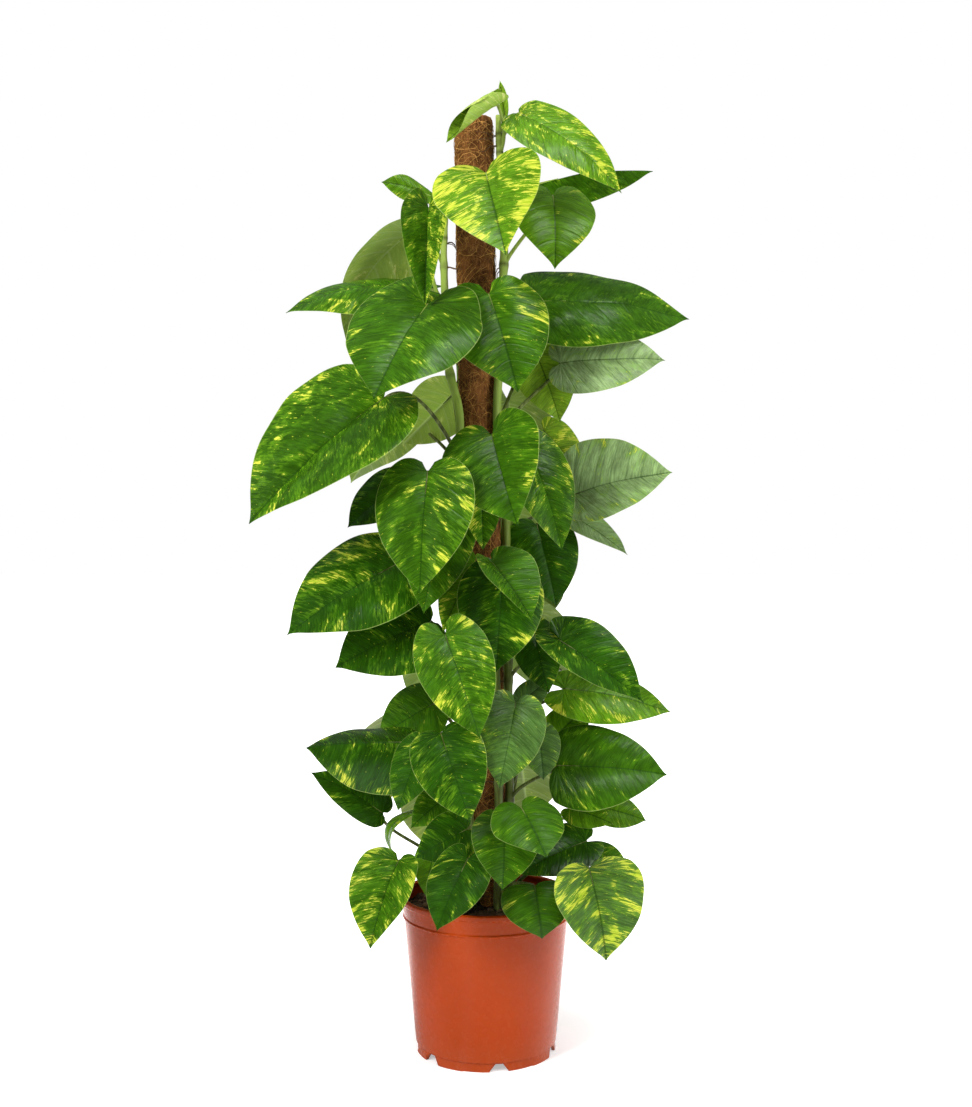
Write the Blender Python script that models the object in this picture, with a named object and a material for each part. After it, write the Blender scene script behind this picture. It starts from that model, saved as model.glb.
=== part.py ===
"""Golden pothos in a nursery pot, trained up a coir pole.

Six vines climb the pole. Each vine is one body: a stem with its petioles and heart-shaped leaves.
Sizes are centimetres, and they are turned into metres where a mesh is made.
The pot's axis is Z, the pot stands on Z = 0, and the side that faces -Y is the front.
"""
import math
from dataclasses import dataclass

import bpy
from mathutils import Vector

CM = 0.01
UP = Vector((0.0, 0.0, 1.0))

# Clearance between pieces that touch
GAP = 0.03

# Pot: a 19 cm nursery pot
POT_SEGMENTS = 32
POT_HEIGHT = 16.7
RIM_RADIUS = 9.5
RIM_HEIGHT = 0.5
RIM_WIDTH = 0.55
RIM_BEVEL = 0.1
GROOVE_WIDTH = 0.1
GROOVE_DEPTH = 0.14
LIP_WIDTH = 0.2
LIP_DEPTH = 0.3
COLLAR_TOP_RADIUS = 9.3
COLLAR_FOOT_RADIUS = 8.97
COLLAR_HEIGHT = 2.3
RIDGE_RADIUS = 9.08
RIDGE_HEIGHT = 0.12
BODY_TOP_RADIUS = 8.9
BODY_FOOT_RADIUS = 7.64
FOOT_RADIUS = 7.43
FOOT_HEIGHT = 1.0
FOOT_THICKNESS = 0.22
WALL = 0.15
FLOOR_Z = 0.95
NOTCH_COUNT = 6
NOTCH_PHASE = 10.6
NOTCH_FOOT_WIDTH = 2.1
NOTCH_TOP_WIDTH = 0.8
NOTCH_HEIGHT = 0.85
NOTCH_MARGIN = 0.2
DRAIN_RADIUS = 0.5
DRAIN_CIRCLE = 5.6
DRAIN_SIDES = 10

# Potting soil
SOIL_TOP_Z = 15.4
SOIL_CROWN_Z = 15.8
SOIL_SHOULDER = 0.6
HOLE_MARGIN = 1.0

# Coir pole: a wooden stake in a coir sleeve, standing on the pot's floor
POLE_FOOT_Z = FLOOR_Z + WALL + GAP
POLE_TOP_Z = 101.0
POLE_SIDES = 20
COIR_RADIUS = 2.15
CORE_RADIUS = 1.25
POLE_FOOT_X = 0.16
LEAN_START_Z = 16.0
POLE_LEAN = -0.018

# Stems and petioles
STEM_SIDES = 6
STEM_RADIUS = 0.45
STEM_TIP_RADIUS = 0.28
STEM_TAPER_LENGTH = 12.0
STEM_FOOT_Z = 11.0
STEM_STEP = 5.0
PETIOLE_SIDES = 4
LONG_PETIOLE = 8.0
PETIOLE_RADIUS = 0.24
PETIOLE_END_RADIUS = 0.15
PETIOLE_JOINT = 0.04
PETIOLE_OUTWARD = 0.5
PETIOLE_LEAVE = 0.4
PETIOLE_ARRIVE = 0.35

# Leaf blade. The outline is one side of a leaf that is one unit long from base to tip.
BLADE_THICKNESS = 0.075
VEIN_SLOPE = 0.55
HALF_WIDTH = 0.44
NARROW_ROW = 0.22
WAVE_RATE = 9.0
WAVE_PHASE = 3.0
WAVE_SIDE_SHIFT = 2.0
STRAIGHT = 1e-4
HALF_OUTLINE = (
    (0.08, -0.13),
    (0.26, -0.13),
    (0.41, 0.07),
    (0.44, 0.32),
    (0.36, 0.58),
    (0.21, 0.79),
    (0.065, 0.94),
)


@dataclass
class Leaf:
    """One leaf, from the node of its stem to the tip of its blade.

    yaw and pitch say where its upper face looks: yaw 0 is the front, and pitch 90 is straight up.
    fold is each half's rise at the midrib, and bend is how far the half turns down towards its margin.
    lobe is how far the two lobes reach back past the base.
    """

    node_z: float
    base: tuple
    tip: tuple
    yaw: float = 0.0
    pitch: float = 30.0
    width: float = 1.0
    arch: float = 0.05
    fold: float = 16.0
    bend: float = 38.0
    twist: float = 0.0
    wave: float = 0.012
    lobe: float = 1.0
    rise: float = 0.8
    turn: float = 0.8


@dataclass
class Vine:
    """A stem's route, as (height, angle round the pole, distance from its axis), and its leaves."""

    route: tuple
    leaves: tuple


VINES = {
    "vine_left": Vine(
        route=(
            (16, -72, 2.8),
            (56, -74, 2.8),
            (68, -46, 2.8),
            (76, -78, 3.4),
            (86, -84, 3.5),
            (92, -80, 3.2),
        ),
        leaves=(
            Leaf(88, (-6, -2, 92.2), (-11.2, -3, 93.4), yaw=-10, pitch=50, width=0.75, twist=60, bend=80),
            Leaf(85, (-6.1, -3.5, 90.5), (-6.2, -9.3, 78.8), yaw=-5, pitch=20, width=0.6, fold=50, bend=10),
            Leaf(
                80, (-8.5, 3, 89.5), (-15.8, 5, 77.5),
                yaw=-140, pitch=35, width=0.7, arch=0.2, fold=-10, bend=30,
            ),
            Leaf(
                77, (-7, -1, 82.5), (-21.5, -2, 79.5),
                yaw=0, pitch=55, width=0.75, arch=0.1, fold=5, bend=60,
            ),
            Leaf(73, (-6, -8, 79.4), (-11, -15, 68.8), yaw=-5, pitch=35, width=1.17, lobe=1.8),
            Leaf(
                64, (-10.5, -7.5, 69.8), (-23.9, -11, 56.7),
                yaw=-20, pitch=34, width=0.93, fold=26, lobe=0.6, turn=0.1,
            ),
            Leaf(57, (-5.9, -10.5, 62), (-6.5, -13.5, 49.7), yaw=-10, pitch=20, width=0.92, lobe=0.7),
            Leaf(52, (-4.3, -5.5, 58.5), (-6.4, -9, 47.5), yaw=0, pitch=20, width=0.75),
            Leaf(57, (-0.5, -6.5, 61), (-0.3, -8.5, 54), yaw=0, pitch=20, width=0.65),
            Leaf(48, (-9, -4.5, 52.8), (-20.3, -9, 45.3), yaw=-15, pitch=30, width=0.96),
            Leaf(41, (-5.8, -3.8, 46.5), (-15.8, -6, 41.8), yaw=-10, pitch=25, width=1.0, lobe=0.4),
            Leaf(34, (-5.8, 0.4, 37.2), (-11.8, 0.6, 33.5), yaw=-15, pitch=15, width=1.1),
            Leaf(
                29, (-8, -6.3, 34), (-18.8, -6.3, 33.4),
                yaw=-10, pitch=40, width=1.2, fold=-28, bend=22, lobe=0.4,
            ),
            Leaf(27, (-6.5, -8.5, 34), (-9, -9.5, 27.5), yaw=-15, pitch=20, width=0.8),
            Leaf(24, (-8.5, -2, 30.5), (-11, -2.5, 27.4), yaw=-10, pitch=20, width=0.9),
            Leaf(20, (-7.9, -4.5, 26.3), (-9.4, -5.5, 21.8), yaw=-70, pitch=10, width=0.8, arch=0.35),
            Leaf(18, (-11, -4, 26.2), (-18.6, -4, 30.5), yaw=-20, pitch=50, width=0.65, lobe=0.5),
            Leaf(17, (-9, -8, 22.1), (-11.7, -11, 13.9), yaw=-28, pitch=20, fold=28, bend=12, lobe=0.6),
        ),
    ),
    "vine_right": Vine(
        route=(
            (16, 64, 2.8),
            (45, 75, 2.8),
            (56, 82, 2.8),
            (68, 44, 2.8),
            (78, 60, 2.9),
            (87, 74, 3.2),
            (101, 60, 3.1),
        ),
        leaves=(
            Leaf(97, (1.2, -3.5, 101.6), (-4.2, -5, 97), yaw=0, pitch=30, width=0.8, fold=20, bend=-190),
            Leaf(99, (2, -1, 101.5), (1.5, -1, 105), yaw=0, pitch=10, width=0.5, fold=50, bend=0),
            Leaf(
                98, (3.5, -1.2, 101.4), (14.5, -3, 92.2),
                pitch=38, width=0.6, arch=0.08, fold=8, lobe=0.2,
            ),
            Leaf(
                90, (0, -6, 93.5), (2, -12, 83.5),
                yaw=-18, pitch=32, width=1.15, fold=28, bend=22, lobe=0.7,
            ),
            Leaf(88, (5.5, 3, 94.9), (18.5, 2, 96), yaw=0, pitch=45, width=0.62, fold=-42, bend=5),
            Leaf(85, (7.2, -1.8, 92.3), (7.2, -6, 83.4), yaw=5, pitch=40, width=1.05, arch=0.12, lobe=1.2),
            Leaf(75, (0.3, -5, 81), (3.3, -8, 70.3), yaw=5, pitch=25, width=1.12),
            Leaf(
                78, (5, 0.5, 81.3), (23.1, 6, 80.3),
                yaw=0, pitch=33, width=0.7, arch=0.06, fold=4, bend=45, lobe=0.3,
            ),
            Leaf(66, (8.2, 1.5, 74.7), (19.7, 1, 74.9), yaw=10, pitch=30, width=0.9, lobe=0.7),
            Leaf(60, (0.6, -7.5, 66), (3.2, -11.5, 56.5), yaw=-30, pitch=28, width=1.22, fold=30, bend=20),
            Leaf(58, (4.4, -4.5, 65), (7.9, -7, 54), yaw=20, pitch=20, width=0.7),
            Leaf(52, (5.6, 0.6, 56.8), (7.6, -1.2, 48), yaw=5, pitch=20, width=0.98, lobe=0.7),
            Leaf(42, (5, -3.4, 45.5), (6.6, -5.5, 39), yaw=-10, pitch=20, width=0.85),
            Leaf(
                40, (7.7, -5, 44.6), (16.2, -8, 38.3),
                yaw=10, pitch=40, width=0.78, fold=26, bend=16, lobe=1.2,
            ),
            Leaf(35, (8.5, -0.5, 39), (20, -1.5, 36.6), yaw=10, pitch=45, width=0.75, fold=4),
            Leaf(27, (7.6, -4, 31.2), (19.1, -5, 30.4), yaw=10, pitch=32, width=0.98, lobe=0.4),
            Leaf(19, (10.5, -5.5, 23.5), (3, -7.5, 20.5), yaw=0, pitch=50, width=0.85),
            Leaf(
                17, (10.5, -9, 21.6), (12.1, -11, 12.7),
                yaw=25, pitch=25, width=1.3, fold=24, bend=16, lobe=0.5,
            ),
            Leaf(18, (11.5, -3, 22), (15, -4, 20.5), yaw=20, pitch=40, width=0.9),
        ),
    ),
    "vine_back_left": Vine(
        route=((16, -140, 2.8), (40, -150, 2.8), (80, -135, 2.9)),
        leaves=(
            Leaf(75, (-8, 6, 83), (-10.5, 11, 76), yaw=-155, pitch=30),
            Leaf(66, (-3.8, 4, 71.5), (-9.4, 5, 66), yaw=170, pitch=20),
            Leaf(62, (-9, 7.5, 69.5), (-16, 12, 62), yaw=-135, pitch=30),
            Leaf(56, (-9, 0, 61.5), (-15, -1, 56.5), yaw=-20, pitch=20, width=0.9),
            Leaf(54, (-3, 10, 60), (-4, 17, 49), yaw=-170, pitch=30),
            Leaf(46, (-9, 8, 51), (-16, 13, 43), yaw=-135, pitch=30),
            Leaf(38, (-4, 10, 43), (-6, 17, 33), yaw=-165, pitch=30),
            Leaf(29, (-9, 8, 35), (-15, 12, 27), yaw=-135, pitch=30),
            Leaf(19, (-5, 10, 27), (-7, 15, 18), yaw=-160, pitch=30),
        ),
    ),
    "vine_back_right": Vine(
        route=((16, 140, 2.8), (50, 128, 2.8), (84, 140, 2.9)),
        leaves=(
            Leaf(76, (4, 7, 82), (6, 14, 72), yaw=165, pitch=30),
            Leaf(68, (5.4, 3.4, 76.6), (8.2, 2.2, 68.2), yaw=10, pitch=20, width=0.95),
            Leaf(67, (2.5, 8, 71.5), (3, 15, 62), yaw=170, pitch=30),
            Leaf(61, (6.5, 4.2, 67.5), (11, 4.2, 62), yaw=10, pitch=25, width=0.9),
            Leaf(58, (3, 10, 64), (4, 17, 53), yaw=170, pitch=30),
            Leaf(55, (9.7, 2, 60.2), (20.5, 1, 62.6), yaw=10, pitch=33, width=1.15, fold=26, bend=12),
            Leaf(54, (8.3, 2, 58.5), (15.4, 0, 53.5), yaw=10, pitch=60, width=0.7, lobe=0.4),
            Leaf(48, (4, 9, 54), (6, 15, 44.5), yaw=155, pitch=30),
            Leaf(41, (4, 10, 47), (6, 17, 37), yaw=165, pitch=30),
            Leaf(33, (8.5, 8, 40.5), (14, 12.5, 34.5), yaw=135, pitch=30),
            Leaf(28, (7.5, 1, 33.5), (11.5, 2, 37), yaw=10, pitch=30, width=1.0),
            Leaf(23, (4, 10, 30), (5, 16, 21), yaw=170, pitch=30),
            Leaf(25, (5, 1.5, 31.5), (8.5, 2, 30), yaw=10, pitch=30, width=0.9),
            Leaf(20, (9, -3, 26.5), (13.5, -4, 25), yaw=10, pitch=35, width=0.9),
            Leaf(20, (12.5, 0, 26), (17.5, 0, 24.5), yaw=10, pitch=35, width=0.9),
        ),
    ),
    "vine_front_left": Vine(
        route=((16, -34, 2.8), (30, -42, 2.8), (50, -38, 2.8)),
        leaves=(
            Leaf(40, (-4.1, -11, 45.5), (-0.6, -14, 35.5), yaw=0, pitch=20, width=0.82),
            Leaf(47, (-1.2, -4.2, 52.5), (-4.5, -6.5, 45.5), yaw=-10, pitch=20, width=0.7),
            Leaf(31, (-4.5, -12, 35.7), (-1.5, -15, 27.5), yaw=-5, pitch=20, width=0.93, lobe=0.5),
            Leaf(18, (-5.3, -5.5, 23), (-6.3, -7.3, 18.3), yaw=-10, pitch=20, width=0.85),
            Leaf(23, (-3, -5.5, 29), (-7.8, -7.5, 25.3), yaw=-10, pitch=35, width=0.9),
            Leaf(20, (-2, -8.5, 25.4), (-7.1, -10, 22.8), yaw=-5, pitch=25, width=1.05),
            Leaf(17, (-1.8, -11.8, 23.2), (-4.8, -15, 16.9), yaw=-20, pitch=30, width=0.95),
        ),
    ),
    "vine_front_right": Vine(
        route=((16, 24, 2.8), (30, 31, 2.8), (48, 30, 2.8)),
        leaves=(
            Leaf(46, (0.6, -8.5, 52.8), (4.6, -11, 47), yaw=35, pitch=20, width=1.1, fold=32, bend=12),
            Leaf(35, (3.7, -4.5, 38), (7, -4.5, 40.6), yaw=5, pitch=20, width=0.8),
            Leaf(44, (1.7, -6, 51.5), (1, -9, 41.5), yaw=5, pitch=20, width=1.0),
            Leaf(33, (3, -10, 38.5), (1.3, -13, 30.4), yaw=5, pitch=20, width=0.9, lobe=0.8),
            Leaf(29, (5.5, -5, 35), (6, -6, 30), yaw=10, pitch=20, width=1.0),
            Leaf(23, (3.5, -13, 28.5), (5.8, -17.3, 24.6), yaw=15, pitch=35, width=1.4, lobe=1.2),
            Leaf(20, (1.9, -10.5, 26.6), (1.6, -14, 20.6), yaw=10, pitch=25, width=1.15, fold=20, bend=20),
            Leaf(
                16.5, (4.9, -10, 20), (5.6, -12, 15.2),
                yaw=5, pitch=35, width=1.65, arch=0.12, lobe=0.4,
            ),
        ),
    ),
}


def clear_scene():
    """Remove every object, so that the file holds only the plant."""
    for item in list(bpy.data.objects):
        bpy.data.objects.remove(item, do_unlink=True)


def make_material(name, color, roughness, metallic=0.0):
    """A Principled material of one plain colour."""
    material = bpy.data.materials.new(name)
    material.use_nodes = True
    shader = material.node_tree.nodes["Principled BSDF"]
    shader.inputs["Base Color"].default_value = (*color, 1.0)
    shader.inputs["Roughness"].default_value = roughness
    shader.inputs["Metallic"].default_value = metallic
    return material


def add_object(name, verts, faces, material=None):
    """A mesh object made from points in centimetres."""
    mesh = bpy.data.meshes.new(name)
    mesh.from_pydata([Vector(point) * CM for point in verts], [], faces)
    if material is not None:
        mesh.materials.append(material)
    item = bpy.data.objects.new(name, mesh)
    bpy.context.collection.objects.link(item)
    return item


def shade(item, angle=35.0):
    """Smooth shading with sharp edges kept."""
    item.data.shade_smooth()
    item.data.set_sharp_from_angle(angle=math.radians(angle))


def band(first, second):
    """Quads between two rings of vertex numbers, or triangles where one ring is a single point."""
    count = max(len(first), len(second))
    faces = []
    for i in range(count):
        j = (i + 1) % count
        face = [first[i % len(first)], first[j % len(first)]]
        face += [second[j % len(second)], second[i % len(second)]]
        faces.append(tuple(dict.fromkeys(face)))
    return faces


def revolve(profile, segments, closed=False):
    """Turn a profile of (radius, height) points round Z. Points at radius 0 close the ends.

    The profile runs anticlockwise seen with +X right and +Z up. A closed one joins its ends.
    """
    verts = []
    rings = []
    for radius, height in profile:
        count = segments if radius > 0 else 1
        rings.append(range(len(verts), len(verts) + count))
        for i in range(count):
            angle = math.tau * i / segments
            verts.append(Vector((radius * math.cos(angle), radius * math.sin(angle), height)))
    pairs = list(zip(rings, rings[1:]))
    if closed:
        pairs.append((rings[-1], rings[0]))
    faces = []
    for first, second in pairs:
        faces.extend(band(first, second))
    return verts, faces


def tube(points, radii, sides):
    """A closed tube along the points, with flat ends. Its rings turn with the path without twisting."""
    verts = []
    faces = []
    along = (points[1] - points[0]).normalized()
    side = along.orthogonal().normalized()
    for k, (point, radius) in enumerate(zip(points, radii)):
        behind = points[max(k - 1, 0)]
        ahead = points[min(k + 1, len(points) - 1)]
        heading = (ahead - behind).normalized()
        side = along.rotation_difference(heading) @ side
        along = heading
        other = along.cross(side)
        for i in range(sides):
            angle = math.tau * i / sides
            verts.append(point + radius * (math.cos(angle) * side + math.sin(angle) * other))
    rings = [range(k * sides, (k + 1) * sides) for k in range(len(points))]
    for first, second in zip(rings, rings[1:]):
        faces.extend(band(first, second))
    faces.append(tuple(reversed(rings[0])))
    faces.append(tuple(rings[-1]))
    return verts, faces


def bezier(a, b, c, d, t):
    """A point on a cubic Bezier curve."""
    s = 1.0 - t
    return s * s * s * a + 3 * s * s * t * b + 3 * s * t * t * c + t * t * t * d


def blend(knots, z):
    """Values at height z, eased between knots of (height, value, value...)."""
    if z <= knots[0][0]:
        return knots[0][1:]
    for low, high in zip(knots, knots[1:]):
        if z <= high[0]:
            t = (z - low[0]) / (high[0] - low[0])
            t = t * t * (3 - 2 * t)
            return tuple(a + (b - a) * t for a, b in zip(low[1:], high[1:]))
    return knots[-1][1:]


def pole_axis(z):
    """The pole's centre at height z: upright in the soil, leaning slightly to the left above it."""
    return Vector((POLE_FOOT_X + POLE_LEAN * max(0.0, z - LEAN_START_Z), 0.0, z))


def stem_point(route, z):
    """The centre of a stem at height z."""
    angle, distance = blend(route, z)
    turn = math.radians(angle)
    return pole_axis(z) + distance * Vector((math.sin(turn), -math.cos(turn), 0.0))


def stem_radius(route, z):
    """A stem's radius, which tapers towards its growing end."""
    left = max(0.0, route[-1][0] - z) / STEM_TAPER_LENGTH
    return STEM_TIP_RADIUS + (STEM_RADIUS - STEM_TIP_RADIUS) * min(1.0, left)


def leaf_frame(leaf):
    """A leaf's base, its length, and its directions across, along and out of the upper face."""
    base = Vector(leaf.base)
    chord = Vector(leaf.tip) - base
    along = chord.normalized()
    yaw = math.radians(leaf.yaw)
    pitch = math.radians(leaf.pitch)
    facing = Vector((math.sin(yaw) * math.cos(pitch), -math.cos(yaw) * math.cos(pitch), math.sin(pitch)))
    out = (facing - facing.dot(along) * along).normalized()
    return base, chord.length, along.cross(out), along, out


def leaf_point(leaf, x, y):
    """A point of the blade's middle surface, for x across and y along in leaf lengths."""
    base, length, across, along, out = leaf_frame(leaf)
    fold = math.radians(leaf.fold)
    bend = math.radians(leaf.bend) / HALF_WIDTH
    side = abs(x) * leaf.width
    if abs(bend) < STRAIGHT:
        reach = side * math.cos(fold)
        lift = side * math.sin(fold)
    else:
        reach = (math.sin(fold) - math.sin(fold - bend * side)) / bend
        lift = (math.cos(fold - bend * side) - math.cos(fold)) / bend
    phase = WAVE_PHASE * leaf.node_z + (WAVE_SIDE_SHIFT if x > 0 else 0.0)
    ripple = leaf.wave * (side / HALF_WIDTH) ** 2 * math.sin(WAVE_RATE * y + phase)
    roll = math.radians(leaf.twist) * y
    lateral = math.copysign(reach, x) if x else 0.0
    lift += ripple
    u = lateral * math.cos(roll) - lift * math.sin(roll)
    v = lateral * math.sin(roll) + lift * math.cos(roll)
    v += 4.0 * leaf.arch * y * (1.0 - max(y, 0.0))
    return base + length * (u * across + y * along + v * out)


def half_outline(leaf):
    """The outline of one side of a leaf, with its own length of lobe."""
    return [(x, y * leaf.lobe if y < 0.0 else y) for x, y in HALF_OUTLINE]


def blade_surface(leaf):
    """Points and triangles of the blade's middle surface, whose rows follow the side veins."""
    points = [leaf_point(leaf, 0.0, 0.0)]
    starts = []
    row_ends = []
    for x, y in half_outline(leaf):
        start = max(0.0, y - VEIN_SLOPE * x)
        if start > 0.0:
            starts.append(len(points))
            points.append(leaf_point(leaf, 0.0, start))
        else:
            starts.append(0)
        row_ends.append((start, x, y))
    tip = len(points)
    points.append(leaf_point(leaf, 0.0, 1.0))
    faces = []
    for sign in (1.0, -1.0):
        previous = None
        for start_index, (start, x, y) in zip(starts, row_ends):
            row = [start_index]
            if x > NARROW_ROW:
                row.append(len(points))
                points.append(leaf_point(leaf, sign * x / 2, (start + y) / 2))
            row.append(len(points))
            points.append(leaf_point(leaf, sign * x, y))
            if previous is not None:
                faces.extend(row_cells(previous, row, sign))
            previous = row
        faces.extend(row_cells(previous, [tip], sign))
    return points, faces


def row_cells(low, high, sign):
    """Triangles between two rows of the blade, from the midrib out to the margin."""
    faces = []
    inner, outer = 0, 0
    while inner < len(low) - 1 or outer < len(high) - 1:
        if inner / max(len(low) - 1, 1) <= outer / max(len(high) - 1, 1) and inner < len(low) - 1:
            corners = (low[inner], low[inner + 1], high[outer])
            inner += 1
        else:
            corners = (low[inner], high[outer + 1], high[outer])
            outer += 1
        if len(set(corners)) == 3:
            faces.append(corners if sign > 0 else corners[::-1])
    return faces


def thicken(points, faces, thickness):
    """Turn a surface into a closed solid, with the same triangles on both faces."""
    normals = [Vector() for _ in points]
    for a, b, c in faces:
        normal = (points[b] - points[a]).cross(points[c] - points[a])
        for i in (a, b, c):
            normals[i] += normal
    count = len(points)
    half = thickness / 2
    verts = [point + half * normal.normalized() for point, normal in zip(points, normals)]
    verts += [point - half * normal.normalized() for point, normal in zip(points, normals)]
    edges = {(f[i], f[(i + 1) % 3]) for f in faces for i in range(3)}
    solid = list(faces) + [(c + count, b + count, a + count) for a, b, c in faces]
    for a, b in sorted(edges):
        if (b, a) not in edges:
            solid.append((b, a, a + count))
            solid.append((b, a + count, b + count))
    return verts, solid


def petiole_path(route, leaf):
    """Centre points of a petiole, from inside the stem to the start of the midrib."""
    _, _, _, along, out = leaf_frame(leaf)
    start = stem_point(route, leaf.node_z)
    end = leaf_point(leaf, 0.0, PETIOLE_JOINT)
    outward = start - pole_axis(leaf.node_z)
    outward.normalize()
    span = (end - start).length
    leave = (PETIOLE_OUTWARD * outward + leaf.rise * UP).normalized()
    arrive = ((1.0 - leaf.turn) * along + leaf.turn * out).normalized()
    first = start + PETIOLE_LEAVE * span * leave
    second = end - PETIOLE_ARRIVE * span * arrive
    count = 4 if span > LONG_PETIOLE else 3
    return [bezier(start, first, second, end, i / count) for i in range(count + 1)]


def vine_pieces(vine):
    """The closed solids that a vine is fused from: its stem first, then petioles and blades."""
    foot = STEM_FOOT_Z
    top = vine.route[-1][0]
    count = math.ceil((top - foot) / STEM_STEP)
    heights = [foot + (top - foot) * i / count for i in range(count + 1)]
    points = [stem_point(vine.route, z) for z in heights]
    radii = [stem_radius(vine.route, z) for z in heights]
    pieces = [tube(points, radii, STEM_SIDES)]
    for leaf in vine.leaves:
        path = petiole_path(vine.route, leaf)
        last = len(path) - 1
        shrink = (PETIOLE_RADIUS - PETIOLE_END_RADIUS) / last
        pieces.append(tube(path, [PETIOLE_RADIUS - shrink * i for i in range(last + 1)], PETIOLE_SIDES))
        pieces.append(thicken(*blade_surface(leaf), BLADE_THICKNESS))
    return pieces


def build_vine(name, vine, material):
    """Fuse a vine's stem, petioles and blades into one body."""
    stem, *limbs = vine_pieces(vine)
    body = add_object(name, *stem, material)
    group = bpy.data.collections.new(name + "_limbs")
    for i, (verts, faces) in enumerate(limbs):
        limb = add_object(f"{name}_limb_{i}", verts, faces, material)
        bpy.context.collection.objects.unlink(limb)
        group.objects.link(limb)
    union = body.modifiers.new("fuse", "BOOLEAN")
    union.operation = "UNION"
    union.operand_type = "COLLECTION"
    union.collection = group
    union.solver = "EXACT"
    graph = bpy.context.evaluated_depsgraph_get()
    fused = bpy.data.meshes.new_from_object(body.evaluated_get(graph), depsgraph=graph)
    body.modifiers.clear()
    body.data = fused
    for limb in list(group.objects):
        bpy.data.objects.remove(limb, do_unlink=True)
    bpy.data.collections.remove(group)
    shade(body)
    return body


def pot_profile():
    """The pot's section: under the floor, round the foot, up the outside, over the rim and down inside."""
    collar_foot_z = POT_HEIGHT - COLLAR_HEIGHT
    rim_z = POT_HEIGHT - RIM_HEIGHT
    rim_inner = RIM_RADIUS - RIM_WIDTH
    groove = RIM_RADIUS - LIP_WIDTH
    return (
        (0.0, FLOOR_Z),
        (FOOT_RADIUS - FOOT_THICKNESS, FLOOR_Z),
        (FOOT_RADIUS - FOOT_THICKNESS, 0.0),
        (FOOT_RADIUS, 0.0),
        (FOOT_RADIUS, FOOT_HEIGHT),
        (BODY_FOOT_RADIUS, FOOT_HEIGHT),
        (BODY_TOP_RADIUS, collar_foot_z - RIDGE_HEIGHT),
        (RIDGE_RADIUS, collar_foot_z),
        (RIDGE_RADIUS, collar_foot_z + RIDGE_HEIGHT),
        (COLLAR_FOOT_RADIUS, collar_foot_z + 2 * RIDGE_HEIGHT),
        (COLLAR_TOP_RADIUS, rim_z - WALL),
        (RIM_RADIUS, rim_z),
        (RIM_RADIUS, POT_HEIGHT - RIM_BEVEL),
        (RIM_RADIUS - RIM_BEVEL, POT_HEIGHT),
        (groove + GAP, POT_HEIGHT),
        (groove, POT_HEIGHT - GROOVE_DEPTH),
        (groove - GROOVE_WIDTH, POT_HEIGHT - GROOVE_DEPTH),
        (groove - GROOVE_WIDTH - GAP, POT_HEIGHT - GAP),
        (rim_inner, POT_HEIGHT - GAP),
        (rim_inner, POT_HEIGHT - LIP_DEPTH),
        (COLLAR_TOP_RADIUS - WALL, rim_z - WALL),
        (COLLAR_FOOT_RADIUS - WALL, collar_foot_z),
        (BODY_FOOT_RADIUS - WALL, FLOOR_Z + WALL),
        (0.0, FLOOR_Z + WALL),
    )


def prism(outline, direction, start, depth):
    """A closed prism: an outline of points on one plane, pushed along a direction."""
    near = [point + direction * start for point in outline]
    far = [point + direction * (start + depth) for point in outline]
    count = len(outline)
    faces = band(range(count), range(count, 2 * count))
    faces.append(tuple(reversed(range(count))))
    faces.append(tuple(range(count, 2 * count)))
    return near + far, faces


def foot_cutter():
    """The notches in the foot ring and the drain holes in the floor, as one cutter."""
    verts = []
    faces = []
    for k in range(NOTCH_COUNT):
        angle = math.radians(NOTCH_PHASE + k * 360.0 / NOTCH_COUNT) - math.pi / 2
        radial = Vector((math.cos(angle), math.sin(angle), 0.0))
        tangent = UP.cross(radial)
        below = -NOTCH_MARGIN * UP
        slope = (NOTCH_FOOT_WIDTH - NOTCH_TOP_WIDTH) / 2 / NOTCH_HEIGHT
        foot_half = NOTCH_FOOT_WIDTH / 2 + slope * NOTCH_MARGIN
        top_half = NOTCH_TOP_WIDTH / 2
        notch = (
            below - foot_half * tangent,
            below + foot_half * tangent,
            NOTCH_HEIGHT * UP + top_half * tangent,
            NOTCH_HEIGHT * UP - top_half * tangent,
        )
        drain = []
        for i in range(DRAIN_SIDES):
            turn = math.tau * i / DRAIN_SIDES
            outward = DRAIN_CIRCLE + DRAIN_RADIUS * math.cos(turn)
            drain.append(radial * outward + tangent * DRAIN_RADIUS * math.sin(turn))
        for part_verts, part_faces in (
            prism(notch, radial, FOOT_RADIUS - 2 * FOOT_THICKNESS, 4 * FOOT_THICKNESS),
            prism(drain, UP, FLOOR_Z - WALL, 3 * WALL),
        ):
            shift = len(verts)
            verts.extend(part_verts)
            faces.extend(tuple(i + shift for i in face) for face in part_faces)
    return verts, faces


def cut(item, name, verts, faces):
    """Subtract a closed cutter from an object."""
    cutter = add_object(name, verts, faces)
    cutter.hide_render = True
    cutter.display_type = "WIRE"
    subtract = item.modifiers.new(name, "BOOLEAN")
    subtract.operation = "DIFFERENCE"
    subtract.solver = "EXACT"
    subtract.object = cutter


def build_pot():
    """The pot, with notches and drain holes at its foot."""
    material = make_material("pot_plastic", (0.52, 0.075, 0.022), 0.38)
    pot = add_object("pot", *revolve(pot_profile(), POT_SEGMENTS), material)
    cut(pot, "foot_cutter", *foot_cutter())
    shade(pot)


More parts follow.
